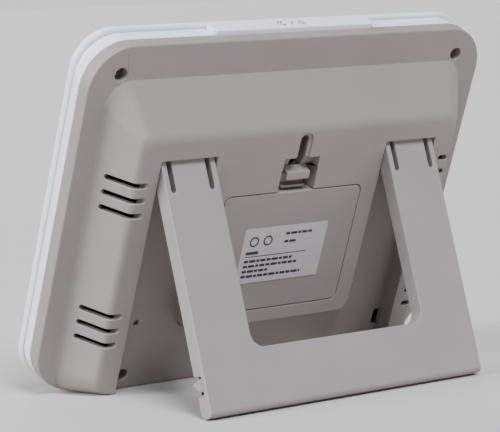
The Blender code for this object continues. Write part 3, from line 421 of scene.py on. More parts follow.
def make_materials():
    looks = {
        "beige": moulded("cover_plastic", (0.248, 0.208, 0.199), 0.40, 0.58, 2600, 0.00003),
        "stand": moulded("stand_plastic", (0.262, 0.225, 0.220), 0.40, 0.56, 2600, 0.00003),
        "white": moulded("white_plastic", (0.80, 0.77, 0.79), 0.22, 0.34, 1800, 0.00001, 0.012, 0.25),
        "key": moulded("key_plastic", (0.78, 0.75, 0.77), 0.30, 0.42, 2200, 0.00002, 0.015),
        "black": moulded("black_plastic", (0.018, 0.018, 0.020), 0.35, 0.55, 2400, 0.00002, 0.1),
        "paper": moulded("label_paper", (0.43, 0.395, 0.40), 0.42, 0.60, 1500, 0.00001, 0.02),
        "rubber": moulded("strip_rubber", (0.03, 0.03, 0.035), 0.7, 0.9, 1800, 0.00003, 0.1),
        "diffuser": moulded("diffuser_sheet", (0.8, 0.85, 0.8), 0.4, 0.5, 900, 0.00001, 0.02),
        "ink": moulded("printed_ink", (0.020, 0.018, 0.022), 0.5, 0.65, 3000, 0.00001, 0.15),
        "icon": moulded("icon_ink", (0.07, 0.07, 0.10), 0.5, 0.65, 3000, 0.00001, 0.1),
    }

    look, brushed = two_tone("steel", 0.3, (0.16, 0.15, 0.145), (0.30, 0.29, 0.28),
                             (900, 3.0, 0.6, (1, 12, 1)), metallic=1.0)
    look.rough_between(brushed, 0.22, 0.42)
    looks["steel"] = look.material

    look, weave = two_tone("board", 0.35, (0.008, 0.055, 0.025), (0.014, 0.085, 0.04), (1200, 2.0, 0.5))
    look.bump(weave, 0.00002, 0.4)
    looks["board"] = look.material

    look = Look("lens", 0.04)
    look.set("Base Color", (0.93, 0.96, 0.96, 1))
    look.set("Transmission Weight", 1.0)
    look.set("IOR", 1.45)
    smear = look.noise(60, 3.0, 0.6)
    look.rough_between(smear, 0.02, 0.07)
    looks["clear"] = look.material

    look = Look("cell_sleeve", 0.28)
    ring = look.node("ShaderNodeSeparateXYZ")
    look.link(look.place, ring.inputs["Vector"])
    along = look.node("ShaderNodeMapRange")
    along.inputs["From Min"].default_value = -SLEEVE_HALF
    along.inputs["From Max"].default_value = SLEEVE_HALF
    look.link(ring.outputs["X"], along.inputs["Value"])
    look.colour(look.ramp(along.outputs["Result"], (
        (0.0, (0.05, 0.10, 0.20)),
        (0.66, (0.05, 0.10, 0.20)),
        (0.68, (0.35, 0.36, 0.38)),
        (1.0, (0.36, 0.37, 0.39)),
    )))
    scuff = look.noise(260, 3.0, 0.6)
    look.rough_between(scuff, 0.2, 0.38)
    looks["cell"] = look.material

    for key, name, roughness, dark, pale, noise, high, metallic in (
        ("brass", "brass", 0.3, (0.50, 0.27, 0.10), (0.75, 0.45, 0.20), (700, 3.0, 0.6), 0.7, 1.0),
        ("lcd", "lcd_glass", 0.18, (0.30, 0.345, 0.29), (0.345, 0.39, 0.33), (20,), 0.75, 0.0),
        ("marks", "lcd_marks", 0.22, (0.016, 0.02, 0.022), (0.03, 0.034, 0.036), (150,), 0.75, 0.0),
        ("floor", "floor", 0.6, (0.475, 0.445, 0.43), (0.485, 0.455, 0.44), (3,), 0.7, 0.0),
    ):
        looks[key] = two_tone(name, roughness, dark, pale, noise, high, metallic)[0].material
    return looks


# ---- drawing helpers ----

SAME_POINT = 0.0001 * MM
SLIVER = 0.004 * MM
ROUND_OVER = math.radians(38.0)
SHARP_OVER = math.radians(34.0)


def raw_object(name, bm):
    """Turns a drawn mesh into a linked object, before its cuts and its shading."""
    bmesh.ops.remove_doubles(bm, verts=bm.verts, dist=SAME_POINT)
    bmesh.ops.recalc_face_normals(bm, faces=bm.faces)
    mesh = bpy.data.meshes.new(name)
    bm.to_mesh(mesh)
    bm.free()
    obj = bpy.data.objects.new(name, mesh)
    bpy.context.scene.collection.objects.link(obj)
    return obj


def boolean(target, operation, cutter):
    modifier = target.modifiers.new(cutter.name, "BOOLEAN")
    modifier.operation = operation
    modifier.solver = "EXACT"
    modifier.object = cutter


def cut(target, bm, name):
    boolean(target, "DIFFERENCE", raw_object(f"{name}_cutter", bm))


def join(target, bm, name):
    boolean(target, "UNION", raw_object(f"{name}_adder", bm))


def cutters_of(obj):
    found = []
    for modifier in obj.modifiers:
        if modifier.type == "BOOLEAN" and modifier.object:
            found += cutters_of(modifier.object) + [modifier.object]
    return found


def evaluated_mesh(obj):
    bpy.context.view_layer.update()
    depsgraph = bpy.context.evaluated_depsgraph_get()
    return bpy.data.meshes.new_from_object(obj.evaluated_get(depsgraph))


def settle(obj, round_by=0.0):
    """Applies the object's modifiers, rounds its sharp edges and sets its shading."""
    old = cutters_of(obj)
    mesh = evaluated_mesh(obj)
    obj.modifiers.clear()
    obj.data = mesh
    for cutter in old:
        bpy.data.objects.remove(cutter)
    bm = bmesh.new()
    bm.from_mesh(mesh)
    bmesh.ops.remove_doubles(bm, verts=bm.verts, dist=SLIVER)
    bmesh.ops.dissolve_degenerate(bm, edges=bm.edges, dist=SLIVER)
    bm.to_mesh(mesh)
    bm.free()
    if round_by:
        bevel = obj.modifiers.new("edges", "BEVEL")
        bevel.width = round_by
        bevel.segments = 3
        bevel.limit_method = "ANGLE"
        bevel.angle_limit = ROUND_OVER
        bevel.use_clamp_overlap = False
        bevel.miter_outer = "MITER_ARC"
        mesh = evaluated_mesh(obj)
        obj.modifiers.clear()
        obj.data = mesh
    mesh.shade_smooth()
    mesh.set_sharp_from_angle(angle=SHARP_OVER)
    weights = obj.modifiers.new("weights", "WEIGHTED_NORMAL")
    weights.keep_sharp = True
    mesh = evaluated_mesh(obj)
    obj.modifiers.clear()
    obj.data = mesh
    return obj


def dress(obj, look, body, slot, *nodes, place=UNIT):
    """Puts a piece in the row frame, gives it its material, hangs it on its body and hides the CAD nodes
    it stands for.
    """
    obj.data.transform(place)
    obj.data.materials.clear()
    obj.data.materials.append(LOOKS[look])
    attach(obj, body)
    if nodes:
        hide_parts(*nodes)
    return obj


def piece(name, bm, *told):
    """A piece that needs no cuts: drawn, shaded and dressed."""
    return dress(settle(raw_object(name, bm)), *told)


def arc(x, y, radius, start, end, steps=20):
    turns = (math.radians(start + (end - start) * i / steps) for i in range(steps + 1))
    return [(x + radius * math.cos(t), y + radius * math.sin(t)) for t in turns]


def quarter(steps):
    """The shares of its two radii that a quarter round has run through, from one face to the next."""
    for step in range(steps + 1):
        angle = math.radians(90 * step / steps)
        yield 1 - math.cos(angle), 1 - math.sin(angle)


def rounded(half, low, high, top_corner, low_corner=None, steps=CORNER_STEPS, middle=0.0):
    low_corner = top_corner if low_corner is None else low_corner
    points = []
    corners = (
        (1, low + low_corner, low_corner, -90),
        (1, high - top_corner, top_corner, 0),
        (-1, high - top_corner, top_corner, 90),
        (-1, low + low_corner, low_corner, 180),
    )
    for side, up, radius, start in corners:
        points += arc(middle + side * (half - radius), up, radius, start, start + 90, steps)
    return points


def window_corners(inner, low, corner, steps):
    """The two lower corners of an opening, from its right side round to its left."""
    points = []
    for side, start in ((1, 0), (-1, -90)):
        points += arc(side * (inner - corner), low + corner, corner, start, start - 90, steps)
    return points


def loft(bm, rings):
    rows = [[bm.verts.new(point) for point in ring] for ring in rings]
    count = len(rows[0])
    for low, high in zip(rows, rows[1:]):
        for i in range(count):
            j = (i + 1) % count
            bm.faces.new((low[i], low[j], high[j], high[i]))
    bm.faces.new(list(reversed(rows[0])))
    bm.faces.new(rows[-1])


def lofted(rings):
    bm = bmesh.new()
    loft(bm, rings)
    return bm


def add_slab(bm, outline, front, back):
    loft(bm, [[(x, y, z) for x, y in outline] for z in (front, back)])


def slab(outline, front, back):
    return lofted([[(x, y, z) for x, y in outline] for z in (front, back)])


def add_profile(bm, outline, left, right):
    loft(bm, [[(x, y, z) for y, z in outline] for x in (left, right)])


def profile(outline, left, right):
    return lofted([[(x, y, z) for y, z in outline] for x in (left, right)])


def add_box(bm, left, right, low, high, front, back):
    add_slab(bm, [(left, low), (right, low), (right, high), (left, high)], front, back)


def box(left, right, low, high, front, back):
    return slab([(left, low), (right, low), (right, high), (left, high)], front, back)


def circle(radius, x, y, steps=ROUND_STEPS):
    turns = (2 * math.pi * i / steps for i in range(steps))
    return [(x + radius * math.cos(t), y + radius * math.sin(t)) for t in turns]


def add_rod(bm, radius, left, right, up, back, steps=ROUND_STEPS):
    add_profile(bm, circle(radius, up, back, steps), left, right)


def add_post(bm, radius, place, front, back, steps=ROUND_STEPS):
    add_slab(bm, circle(radius, place[0], place[1], steps), front, back)


def mirrored(near, far):
    """The left and right ends of a span from near to far, once for each side of the unit."""
    for side in SIDES:
        yield sorted((side * near, side * far))


def curve_between(start, knee, end, share):
    """A smooth curve's value at a share of the way along, pulled towards its knee."""
    keep = 1 - share
    return keep * keep * start + 2 * share * keep * knee + share * share * end


# ---- rear cover ----


def ground_line(back):
    """How high the cover's lower edge rises towards its back, to stay level with the ground."""
    return (back - RIM_BACK) * math.tan(LEAN)


def case_ring(back, inset=0.0, wall=0.0):
    grow = inset + wall
    outline = rounded(SEAM_HALF - grow, SEAM_BOTTOM + grow, SEAM_TOP - grow, CASE_CORNER - grow)
    return [(x, y, back) for x, y in outline]


def band_ring(back, draw, wall=0.0):
    """A ring of the white band, where draw runs from 0 at the seam to 1 at its front edge."""
    side = draw * BAND_SIDE_DRAW + wall
    top = draw * BAND_TOP_DRAW + wall
    outline = rounded(SEAM_HALF - side, SEAM_BOTTOM + top, SEAM_TOP - top, CASE_CORNER - side)
    return [(x, y, back) for x, y in outline]


def hump_ring(back, half, top, corner, low_corner, wall=0.0):
    low = ground_line(max(back, RIM_BACK)) + wall
    outline = rounded(half - wall, low, top - wall, corner, low_corner)
    return [(x, y, back) for x, y in outline]


def cover_outside():
    rings = [case_ring(0.0)]
    wall_foot = RIM_BACK - RIM_EDGE
    for step in range(EDGE_STEPS + 1):
        share = step / EDGE_STEPS
        back = curve_between(wall_foot, RIM_BACK, RIM_BACK, share)
        inset = curve_between(RIM_INSET * wall_foot / RIM_BACK, RIM_INSET, RIM_INSET + RIM_EDGE, share)
        rings.append(case_ring(back, inset))
    base = (HUMP_BASE_HALF, HUMP_BASE_TOP, HUMP_BASE_CORNER, HUMP_BASE_CORNER)
    rings.append(hump_ring(RIM_BACK, *base))
    run = HUMP_EDGE / math.hypot(HUMP_BASE_TOP - HUMP_TOP, HUMP_BACK - RIM_BACK)
    for step in range(EDGE_STEPS + 1):
        share = step / EDGE_STEPS
        back = curve_between(HUMP_BACK - run * (HUMP_BACK - RIM_BACK), HUMP_BACK, HUMP_BACK, share)
        half = curve_between(
            HUMP_HALF + run * (HUMP_BASE_HALF - HUMP_HALF), HUMP_HALF, HUMP_HALF - HUMP_EDGE, share
        )
        top = curve_between(
            HUMP_TOP + run * (HUMP_BASE_TOP - HUMP_TOP), HUMP_TOP, HUMP_TOP - HUMP_EDGE, share
        )
        rings.append(hump_ring(back, half, top, HUMP_CORNER, HUMP_LOW_CORNER))
    return lofted(rings)


def cover_inside():
    base = (HUMP_BASE_HALF, HUMP_BASE_TOP, HUMP_BASE_CORNER, HUMP_BASE_CORNER)
    return lofted([
        case_ring(-GAP, 0.0, CASE_WALL),
        case_ring(RIM_BACK - CASE_WALL, RIM_INSET, CASE_WALL),
        hump_ring(RIM_BACK - CASE_WALL, *base, CASE_WALL),
        hump_ring(HUMP_BACK - CASE_WALL, HUMP_HALF, HUMP_TOP, HUMP_CORNER, HUMP_LOW_CORNER, CASE_WALL),
    ])


def channel_outline(grow=0.0):
    outer, inner = CHANNEL_HALF + grow, BOX_HALF - grow
    top, crotch, low = CHANNEL_TOP + grow, BOX_LOW - grow, -RUN_OUT
    points = [(-outer, low), (outer, low), (outer, top), (inner, top)]
    points += window_corners(inner, crotch, STAND_WINDOW_CORNER, CORNER_STEPS)
    return points + [(-inner, top), (-outer, top)]


def well_size():
    half = CELL_LENGTH / 2 + CONTACT_ROOM
    middle = (DOOR_LOW + DOOR_HIGH) / 2
    half_height = (CELL_COUNT - 1) * CELL_PITCH / 2 + CELL_RADIUS + FIT
    return half, middle - half_height, middle + half_height


def well_front():
    return HUMP_BACK - DOOR_THICK - 2 * GAP - 2 * CELL_RADIUS - 2 * GAP


def bowl_profile():
    """The finger bowl above the latch: deep at the latch and curving out to the keyhole."""
    points = []
    for step in range(EDGE_STEPS + 1):
        share = step / EDGE_STEPS
        up = curve_between(RECESS_STEP - GAP, RECESS_HIGH, RECESS_HIGH, share)
        back = curve_between(BOWL_BACK, BOWL_BACK + 1.2 * MM, HUMP_BACK - 1.0 * MM, share)
        points.append((up, back))
    return points + [(RECESS_HIGH, HUMP_BACK + GAP), (RECESS_STEP - GAP, HUMP_BACK + GAP)]


def door_outline(grow=0.0):
    return rounded(DOOR_HALF + grow, DOOR_LOW - grow, DOOR_HIGH + grow, DOOR_CORNER + grow, steps=10)


def screw_places():
    places = []
    for (x, y), back, seat in (
        (UPPER_SCREW, RIM_BACK, UPPER_SEAT),
        (LOWER_SCREW, CHANNEL_FLOOR, LOWER_SEAT),
    ):
        places += [((side * x, y), back, seat) for side in SIDES]
    return places


def capsule(left, right, low, high):
    """A slot's outline: square at its far end and round at its near one."""
    radius = (high - low) / 2
    middle = (high + low) / 2
    return [(right, low), (right, high)] + arc(left + radius, middle, radius, 90, 270, PILL_STEPS)


def vent_rows():
    """The low and high edge of each slot."""
    for top in VENT_GROUPS:
        for slot in range(VENT_COUNT):
            low = top - slot * VENT_PITCH - VENT_WIDTH / 2
            yield low, low + VENT_WIDTH


def rear_vents():
    """The part of each slot that passes through the rear face."""
    bm = bmesh.new()
    outer = HUMP_HALF + VENT_WIDTH
    for low, high in vent_rows():
        for side in SIDES:
            outline = [(side * x, y) for x, y in capsule(VENT_INNER, outer, low, high)]
            add_slab(bm, outline, HUMP_BACK - VENT_REACH, HUMP_BACK + VENT_REACH)
    return bm


def flank_vents():
    """The part of each slot that runs on down the flank, cut square to it."""
    bm = bmesh.new()
    rise, run = HUMP_BACK - RIM_BACK, HUMP_BASE_HALF - HUMP_HALF
    slope = math.hypot(rise, run)
    start = HUMP_BASE_HALF - run * (VENT_FRONT - RIM_BACK) / rise
    length = (HUMP_BACK - VENT_FRONT) * slope / rise + VENT_WIDTH / 2
    for low, high in vent_rows():
        outline = capsule(0.0, length, low, high)
        for side in SIDES:
            loft(bm, [
                [
                    (side * (start + (across * rise - along * run) / slope), up,
                     VENT_FRONT + (across * run + along * rise) / slope)
                    for along, up in outline
                ]
                for across in (-VENT_REACH, VENT_REACH)
            ])
    return bm


def cover_holes():
    """The pivots' sockets, the teeth's catch holes and the reset hole, all in the channel."""
    bm = bmesh.new()
    tooth = PIVOT_UP - TOOTH_PLACE
    for ends in mirrored(BOX_HALF - PIVOT_REACH, CHANNEL_HALF + PIVOT_REACH):
        add_rod(bm, PIVOT_RADIUS + GAP, *ends, PIVOT_UP, PIVOT_BACK)
    for ends in mirrored(STAND_HALF - STAND_FLANGE - CATCH_INSIDE, CHANNEL_HALF + GAP):
        add_box(bm, *ends, tooth - CATCH_BELOW, tooth + CATCH_ABOVE,
                CHANNEL_FLOOR - 2 * CHANNEL_FLOOR_WALL, CHANNEL_FLOOR + GAP)
    add_post(bm, RESET_RADIUS, RESET_PLACE, CHANNEL_FLOOR - PAST, CHANNEL_FLOOR + PAST, SMALL_ROUND_STEPS)
    return bm


def bar_outline(grow=0.0):
    radius = BAR_CORNER + grow
    return rounded(BAR_HALF + grow, BAR_FRONT - grow, BAR_BACK + grow, radius, steps=8)


def upright_slab(outline, low, high):
    return lofted([[(x, y, z) for x, z in outline] for y in (high, low)])


def bar_opening():
    return upright_slab(bar_outline(FIT), SEAM_TOP - CASE_WALL - RIM_INSET, SEAM_TOP + PAST)


def leave_cover_walls(space):
    """Takes the inner walls and bosses out of the space that is cut from the cover."""
    half, low, high = well_size()
    walls = slab(channel_outline(CHANNEL_FLOOR_WALL), CHANNEL_FLOOR - CHANNEL_FLOOR_WALL, HUMP_BACK)
    cut(space, walls, "channel_walls")
    walls = slab(door_outline(FIT + WELL_WALL), HUMP_BACK - DOOR_SEAT_DEPTH, HUMP_BACK)
    cut(space, walls, "seat_walls")
    walls = box(-half - WELL_WALL, half + WELL_WALL, low - WELL_WALL, high + WELL_WALL,
                well_front() - WELL_WALL, HUMP_BACK)
    cut(space, walls, "well_walls")
    side = RECESS_HALF + WELL_WALL
    walls = box(-side, side, high, KEYHOLE_TOP + WELL_WALL, RECESS_BACK - WELL_WALL, HUMP_BACK)
    cut(space, walls, "recess_walls")
    bosses = bmesh.new()
    for place, back, _ in screw_places():
        add_post(bosses, SCREW_BOSS, place, -RUN_OUT, back)
    cut(space, bosses, "screw_bosses")


def cut_battery_side(cover):
    half, low, high = well_size()
    inside = HUMP_BACK - DOOR_THICK
    cut(cover, slab(door_outline(FIT), inside - GAP, HUMP_BACK + PAST), "door_seat")
    cut(cover, box(-half, half, low, high, well_front(), HUMP_BACK), "battery_well")
    pockets = bmesh.new()
    for ends in mirrored(DOOR_TAB_PLACE - DOOR_TAB_HALF - FIT, DOOR_TAB_PLACE + DOOR_TAB_HALF + FIT):
        add_box(pockets, *ends, DOOR_LOW - DOOR_TAB_REACH - 2 * FIT, low - WELL_WALL - FIT,
                inside - DOOR_TAB_ROOM, inside)
    cut(cover, pockets, "tab_pockets")


def cut_latch_and_keyhole(cover):
    recess = box(-RECESS_HALF, RECESS_HALF, DOOR_HIGH - GAP, RECESS_STEP, RECESS_BACK, HUMP_BACK + GAP)
    cut(cover, recess, "latch_recess")
    cut(cover, profile(bowl_profile(), -RECESS_HALF + GAP, RECESS_HALF - GAP), "finger_bowl")
    low = RECESS_HIGH - 2 * KEYHOLE_HALF
    room = rounded(KEYHOLE_HALF, low, KEYHOLE_TOP, KEYHOLE_HALF * PILL, steps=PILL_STEPS)
    cut(cover, slab(room, HUMP_BACK - KEYHOLE_STEP, HUMP_BACK + PAST), "keyhole_step")
    top = KEYHOLE_TOP - KEYHOLE_HALF + KEYHOLE_SLOT_HALF
    slot = rounded(KEYHOLE_SLOT_HALF, low, top, KEYHOLE_SLOT_HALF * PILL, steps=PILL_STEPS)
    deep = RECESS_BACK - 2 * WELL_WALL
    cut(cover, slab(slot, deep, HUMP_BACK + PAST), "keyhole")
    cut(cover, slab(room, deep, HUMP_BACK - KEYHOLE_WALL), "keyhole_room")


def cut_screw_wells(cover):
    wells = bmesh.new()
    shanks = bmesh.new()
    for place, back, seat in screw_places():
        add_post(wells, SCREW_WELL, place, back - seat, back + PAST)
        add_post(shanks, SCREW_SHANK + GAP, place, -2 * RUN_OUT, back - seat + GAP, HOLE_STEPS)
    cut(cover, wells, "screw_wells")
    cut(cover, shanks, "screw_shanks")


def build_rear_cover():
    cover = raw_object("rear_cover_shell", cover_outside())
    space = raw_object("cover_space_cutter", cover_inside())
    leave_cover_walls(space)
    boolean(cover, "DIFFERENCE", space)
    cut(cover, slab(channel_outline(), CHANNEL_FLOOR, HUMP_BACK + PAST), "channel")
    cut_battery_side(cover)
    cut_latch_and_keyhole(cover)
    cut(cover, rear_vents(), "rear_vents")
    cut(cover, flank_vents(), "flank_vents")
    cut(cover, cover_holes(), "holes")
    cut_screw_wells(cover)
    cut(cover, bar_opening(), "bar_opening")
    settle(cover, COVER_ROUND)
    dress(cover, "beige", "case", "beige", "rear_cover")


# ---- front ----


def build_front_case():
    front = -FRONT_CASE_DEPTH
    rings = []
    for step in range(EDGE_STEPS + 1):
        share = step / EDGE_STEPS
        rings.append(band_ring(curve_between(front, front / 2, -CASE_WALL, share), (1 - share) ** 2))
    rings.append(case_ring(-GAP - EDGE_CHAMFER / 2))
    rings.append(case_ring(-GAP, EDGE_CHAMFER / 2))
    case = raw_object("front_case_band", lofted(rings))
    space = lofted([
        band_ring(front + FRONT_CASE_WALL, 1, CASE_WALL),
        band_ring(-GAP, 0, CASE_WALL),
        band_ring(PAST, 0, CASE_WALL),
    ])
    cut(case, space, "front_space")
    cut(case, window_slab(0.0, front - PAST, PAST), "case_window")
    cut(case, key_holes(FIT, front - PAST, PAST), "case_keys")
    cut(case, bar_opening(), "case_bar")
    bosses = bmesh.new()
    holes = bmesh.new()
    for place, _, _ in screw_places():
        add_post(bosses, SCREW_BOSS, place, front + GAP, -2 * GAP, SMALL_ROUND_STEPS)
        add_post(holes, SCREW_SHANK + GAP, place, front + PILOT_FLOOR, PAST, HOLE_STEPS)
    join(case, bosses, "front_bosses")
    cut(case, holes, "front_pilots")
    settle(case)
    dress(case, "white", "case", "white", "front_case")


def window_slab(grow, front, back):
    half, low, high = WINDOW_HALF + grow, WINDOW_LOW - grow, WINDOW_HIGH + grow
    return slab(rounded(half, low, high, WINDOW_CORNER, steps=10), front, back)


def key_places():
    first = -(KEY_COUNT - 1) / 2
    return [(first + i) * KEY_PITCH for i in range(KEY_COUNT)]


def key_outline(middle, grow=0.0):
    return rounded(
        KEY_HALF + grow, KEY_UP - KEY_HALF_HEIGHT - grow, KEY_UP + KEY_HALF_HEIGHT + grow,
        KEY_HALF_HEIGHT * PILL + grow, steps=PILL_STEPS, middle=middle,
    )


def key_holes(grow, front, back):
    bm = bmesh.new()
    for middle in key_places():
        add_slab(bm, key_outline(middle, grow), front, back)
    return bm


def build_front_bezel():
    back = -FRONT_CASE_DEPTH - GAP
    front = -BEZEL_FRONT

    def ring(depth, inset):
        outline = rounded(
            BEZEL_HALF - inset, BEZEL_LOW + inset, BEZEL_TOP - inset, BEZEL_CORNER - inset
        )
        return [(x, y, depth) for x, y in outline]

    edge = 2 * EDGE_CHAMFER
    rings = [ring(front + edge * down, edge * inward) for down, inward in quarter(EDGE_STEPS)]
    rings.append(ring(back - EDGE_CHAMFER, 0))
    rings.append(ring(back, EDGE_CHAMFER))
    bezel = raw_object("front_bezel_plate", lofted(rings))
    cut(bezel, window_slab(-GAP, front - PAST, back + PAST), "bezel_window")
    cut(bezel, window_slab(LENS_LEDGE + GAP, front - PAST, front + LENS_THICK + 2 * GAP), "lens_seat")
    cut(bezel, key_holes(FIT, front - PAST, back + PAST), "bezel_keys")
    settle(bezel)
    dress(bezel, "white", "case", "white", "front_bezel")


def build_light_bar():
    """The bar's rounded cap, as far down as it can be seen."""
    rings = [(BAR_TOP - BAR_ROUND * down, -BAR_ROUND * inward) for down, inward in quarter(EDGE_STEPS)]
    rings.append((BAR_LOW, 0))
    cap = lofted([[(x, y, z) for x, z in bar_outline(grow)] for y, grow in rings])
    piece("light_bar_cap", cap, "white", "light_bar", "white", "light_bar")


# ---- door, latch, label ----


def door_tabs():
    """Two hooked tabs at the door's lower edge, on which it swings."""
    bm = bmesh.new()
    low, inside = DOOR_LOW - 0.1 * MM, HUMP_BACK - DOOR_THICK
    top, neck, root = low + DOOR_TAB_RISE, low + 0.3 * MM, inside + 0.4 * MM
    back = inside - 0.5 * MM
    foot = [
        (neck, root),
        (top, root),
        (top, back - DOOR_TAB_THICK),
        (low - DOOR_TAB_REACH, back - DOOR_TAB_THICK),
        (low - DOOR_TAB_REACH, back),
        (neck, back),
    ]
    for ends in mirrored(DOOR_TAB_PLACE - DOOR_TAB_HALF, DOOR_TAB_PLACE + DOOR_TAB_HALF):
        add_profile(bm, foot, *ends)
    return bm


def build_door():
    rings = [(HUMP_BACK - DOOR_THICK, 0)]
    rings += [(HUMP_BACK - COVER_ROUND * down, -COVER_ROUND * inward) for inward, down in quarter(4)]
    panel = lofted([[(x, y, z) for x, y in door_outline(grow)] for z, grow in rings])
    door = raw_object("battery_door_panel", panel)
    join(door, door_tabs(), "door_tabs")
    settle(door)
    dress(door, "beige", "battery_door", "beige", "battery_door")


def build_latch():
    """A bent strip: up from the door, along the recess, and out again to its finger tab."""
    root = DOOR_HIGH + LATCH_CLEAR
    strip = LATCH_STRIP
    dip = RECESS_BACK + LATCH_CLEAR
    low, high = LATCH_LOW, LATCH_HIGH
    stem = high - 0.4 * MM
    reach = RECESS_STEP - 1.2 * MM
    foot = HUMP_BACK - LATCH_FOOT
    face = HUMP_BACK - LATCH_SINK
    under = BOWL_BACK - strip
    scoop = [
        (reach, BOWL_BACK),
        (high + 1.4 * MM, BOWL_BACK + 0.35 * MM),
        (high + 0.6 * MM, BOWL_BACK + 1.3 * MM),
        (high, face - 1.4 * MM),
        (high - 0.3 * MM, face - 0.3 * MM),
        (high - 0.9 * MM, face),
    ]
    tab = [(low, face), (low, face - 1.4 * MM), (stem - strip, face - 1.8 * MM)]
    outline = [(root, foot), (root, dip), (stem, dip), (stem, under), (reach, under), *scoop, *tab,
               (stem - strip, dip + strip), (root + strip, dip + strip), (root + strip, foot)]
    latch = raw_object("battery_latch_strip", profile(outline, -LATCH_HALF, LATCH_HALF))
    settle(latch, LATCH_ROUND)
    dress(latch, "beige", "battery_latch", "beige", "battery_latch")


def build_label():
    """A paper label with generic bars and rings in place of print."""
    front = HUMP_BACK + SKIN / 2
    back = front + LABEL_THICK
    outline = rounded(LABEL_HALF, LABEL_LOW, LABEL_HIGH, LABEL_CORNER, steps=6)
    paper = slab(outline, front, back)
    piece("label_paper", paper, "paper", "battery_door", "paper", "rating_label")
    bm = bmesh.new()
    line, margin = 1.2, -19.5
    rows = (
        # up from the label's lower edge, left end, right end, height, all in millimetres
        (2.6, margin, 12.0, line), (5.0, margin, -6.0, line), (7.4, margin, 9.0, line),
        (9.8, margin, 6.0, line), (12.4, margin, 13.0, 0.35), (13.6, margin, -13.0, 1.4),
        (17.6, 0.0, 6.5, line), (21.4, 0.0, 14.0, line),
    )
    for up, left, right, height in rows:
        start = left
        lengths = itertools.cycle((2.2, 3.4, 1.6, 2.8) if height == line else (right - left,))
        while start < right:
            end = min(start + next(lengths), right)
            add_box(bm, start * MM, end * MM, LABEL_LOW + up * MM, LABEL_LOW + (up + height) * MM,
                    back + SKIN / 4, back + SKIN)
            start = end + 0.5
    rings = [(across * MM, LABEL_LOW + 19.6 * MM) for across in (-16.2, -9.0)]
    for place in rings:
        add_post(bm, 2.4 * MM, place, back + SKIN / 4, back + SKIN, SMALL_ROUND_STEPS)
    marks = raw_object("label_marks", bm)
    inner = bmesh.new()
    for place in rings:
        add_post(inner, 1.7 * MM, place, back - SKIN, back + 2 * SKIN, SMALL_ROUND_STEPS)
    cut(marks, inner, "ring_holes")
    settle(marks)
    dress(marks, "ink", "battery_door", "paper")


# ---- stand ----


def stand_side():
    """The stand's side view: round at its pivots and rounded at its foot."""
    half, foot = STAND_THICK / 2, -STAND_LENGTH + STAND_EDGE
    points = [(STAND_HEEL, half)]
    points += arc(0, 0, half, 60, -90, 24)
    points += arc(foot, -half + STAND_EDGE, STAND_EDGE, -90, -180, 12)
    points += arc(foot, half - STAND_EDGE, STAND_EDGE, 180, 90, 12)
    return points


def stand_window():
    inner, top = STAND_WINDOW_HALF, 2 * RUN_OUT
    corners = window_corners(inner, -STAND_WINDOW_END, STAND_WINDOW_CORNER, 16)
    return slab([(inner, top), *corners, (-inner, top)], -RUN_OUT, RUN_OUT)


def stand_hollow():
    """The room inside the tray: down one leg, along the bar and up the other leg."""
    top = -FINGER_LENGTH - FINGER_ROOT
    outer, inner = STAND_HALF - STAND_FLANGE, STAND_WINDOW_HALF + STAND_FLANGE
    foot, bar_top = -STAND_LENGTH + STAND_FLANGE, -STAND_WINDOW_END - STAND_FLANGE
    outline = [
        (-outer, top), (-outer, foot), (outer, foot), (outer, top),
        (inner, top), (inner, bar_top), (-inner, bar_top), (-inner, top),
    ]
    return slab(outline, -RUN_OUT, STAND_THICK / 2 - STAND_PLATE)


def finger_slots():
    """Two slots in each leg free the spring fingers that carry its pivots."""
    bm = bmesh.new()
    radius = FINGER_SLOT / 2
    for start, inward in ((STAND_HALF, -1), (STAND_WINDOW_HALF, 1)):
        near = start + inward * FINGER_WIDTH
        for left, right in mirrored(near, near + inward * FINGER_SLOT):
            end = arc((left + right) / 2, -FINGER_LENGTH + radius, radius, 180, 360, 16)
            add_slab(bm, [(right, RUN_OUT), (left, RUN_OUT), *end], -RUN_OUT, RUN_OUT)
    return bm


def tooth_notches():
    bm = bmesh.new()
    edge = -STAND_THICK / 2
    outline = [
        (-TOOTH_PLACE + 3.0 * MM, edge - 1 * MM),
        (-TOOTH_PLACE + 2.4 * MM, edge + NOTCH_DEPTH),
        (-TOOTH_PLACE - 4.6 * MM, edge + NOTCH_DEPTH),
        (-TOOTH_PLACE - 6.0 * MM, edge - 1 * MM),
    ]
    for ends in mirrored(STAND_HALF - STAND_FLANGE - NOTCH_MARGIN, STAND_HALF + 1 * MM):
        add_profile(bm, outline, *ends)
    return bm


def snap_teeth():
    bm = bmesh.new()
    edge = -STAND_THICK / 2
    root = edge + NOTCH_DEPTH + 0.2 * MM
    outline = [
        (-TOOTH_PLACE + 2.0 * MM, root),
        (-TOOTH_PLACE + 0.6 * MM, edge - TOOTH_PROUD + 0.3 * MM),
        (-TOOTH_PLACE - 0.4 * MM, edge - TOOTH_PROUD),
        (-TOOTH_PLACE - 2.6 * MM, edge + 0.6 * MM),
        (-TOOTH_PLACE - 4.0 * MM, root),
    ]
    for ends in mirrored(STAND_HALF - STAND_FLANGE, STAND_HALF):
        add_profile(bm, outline, *ends)
    return bm


def stand_pivots():
    bm = bmesh.new()
    for start, outward in ((STAND_HALF, 1), (STAND_WINDOW_HALF, -1)):
        reach = start + outward * (PIVOT_REACH - GAP)
        for ends in mirrored(start - outward * 1 * MM, reach):
            add_rod(bm, PIVOT_RADIUS, *ends, 0, 0)
    return bm


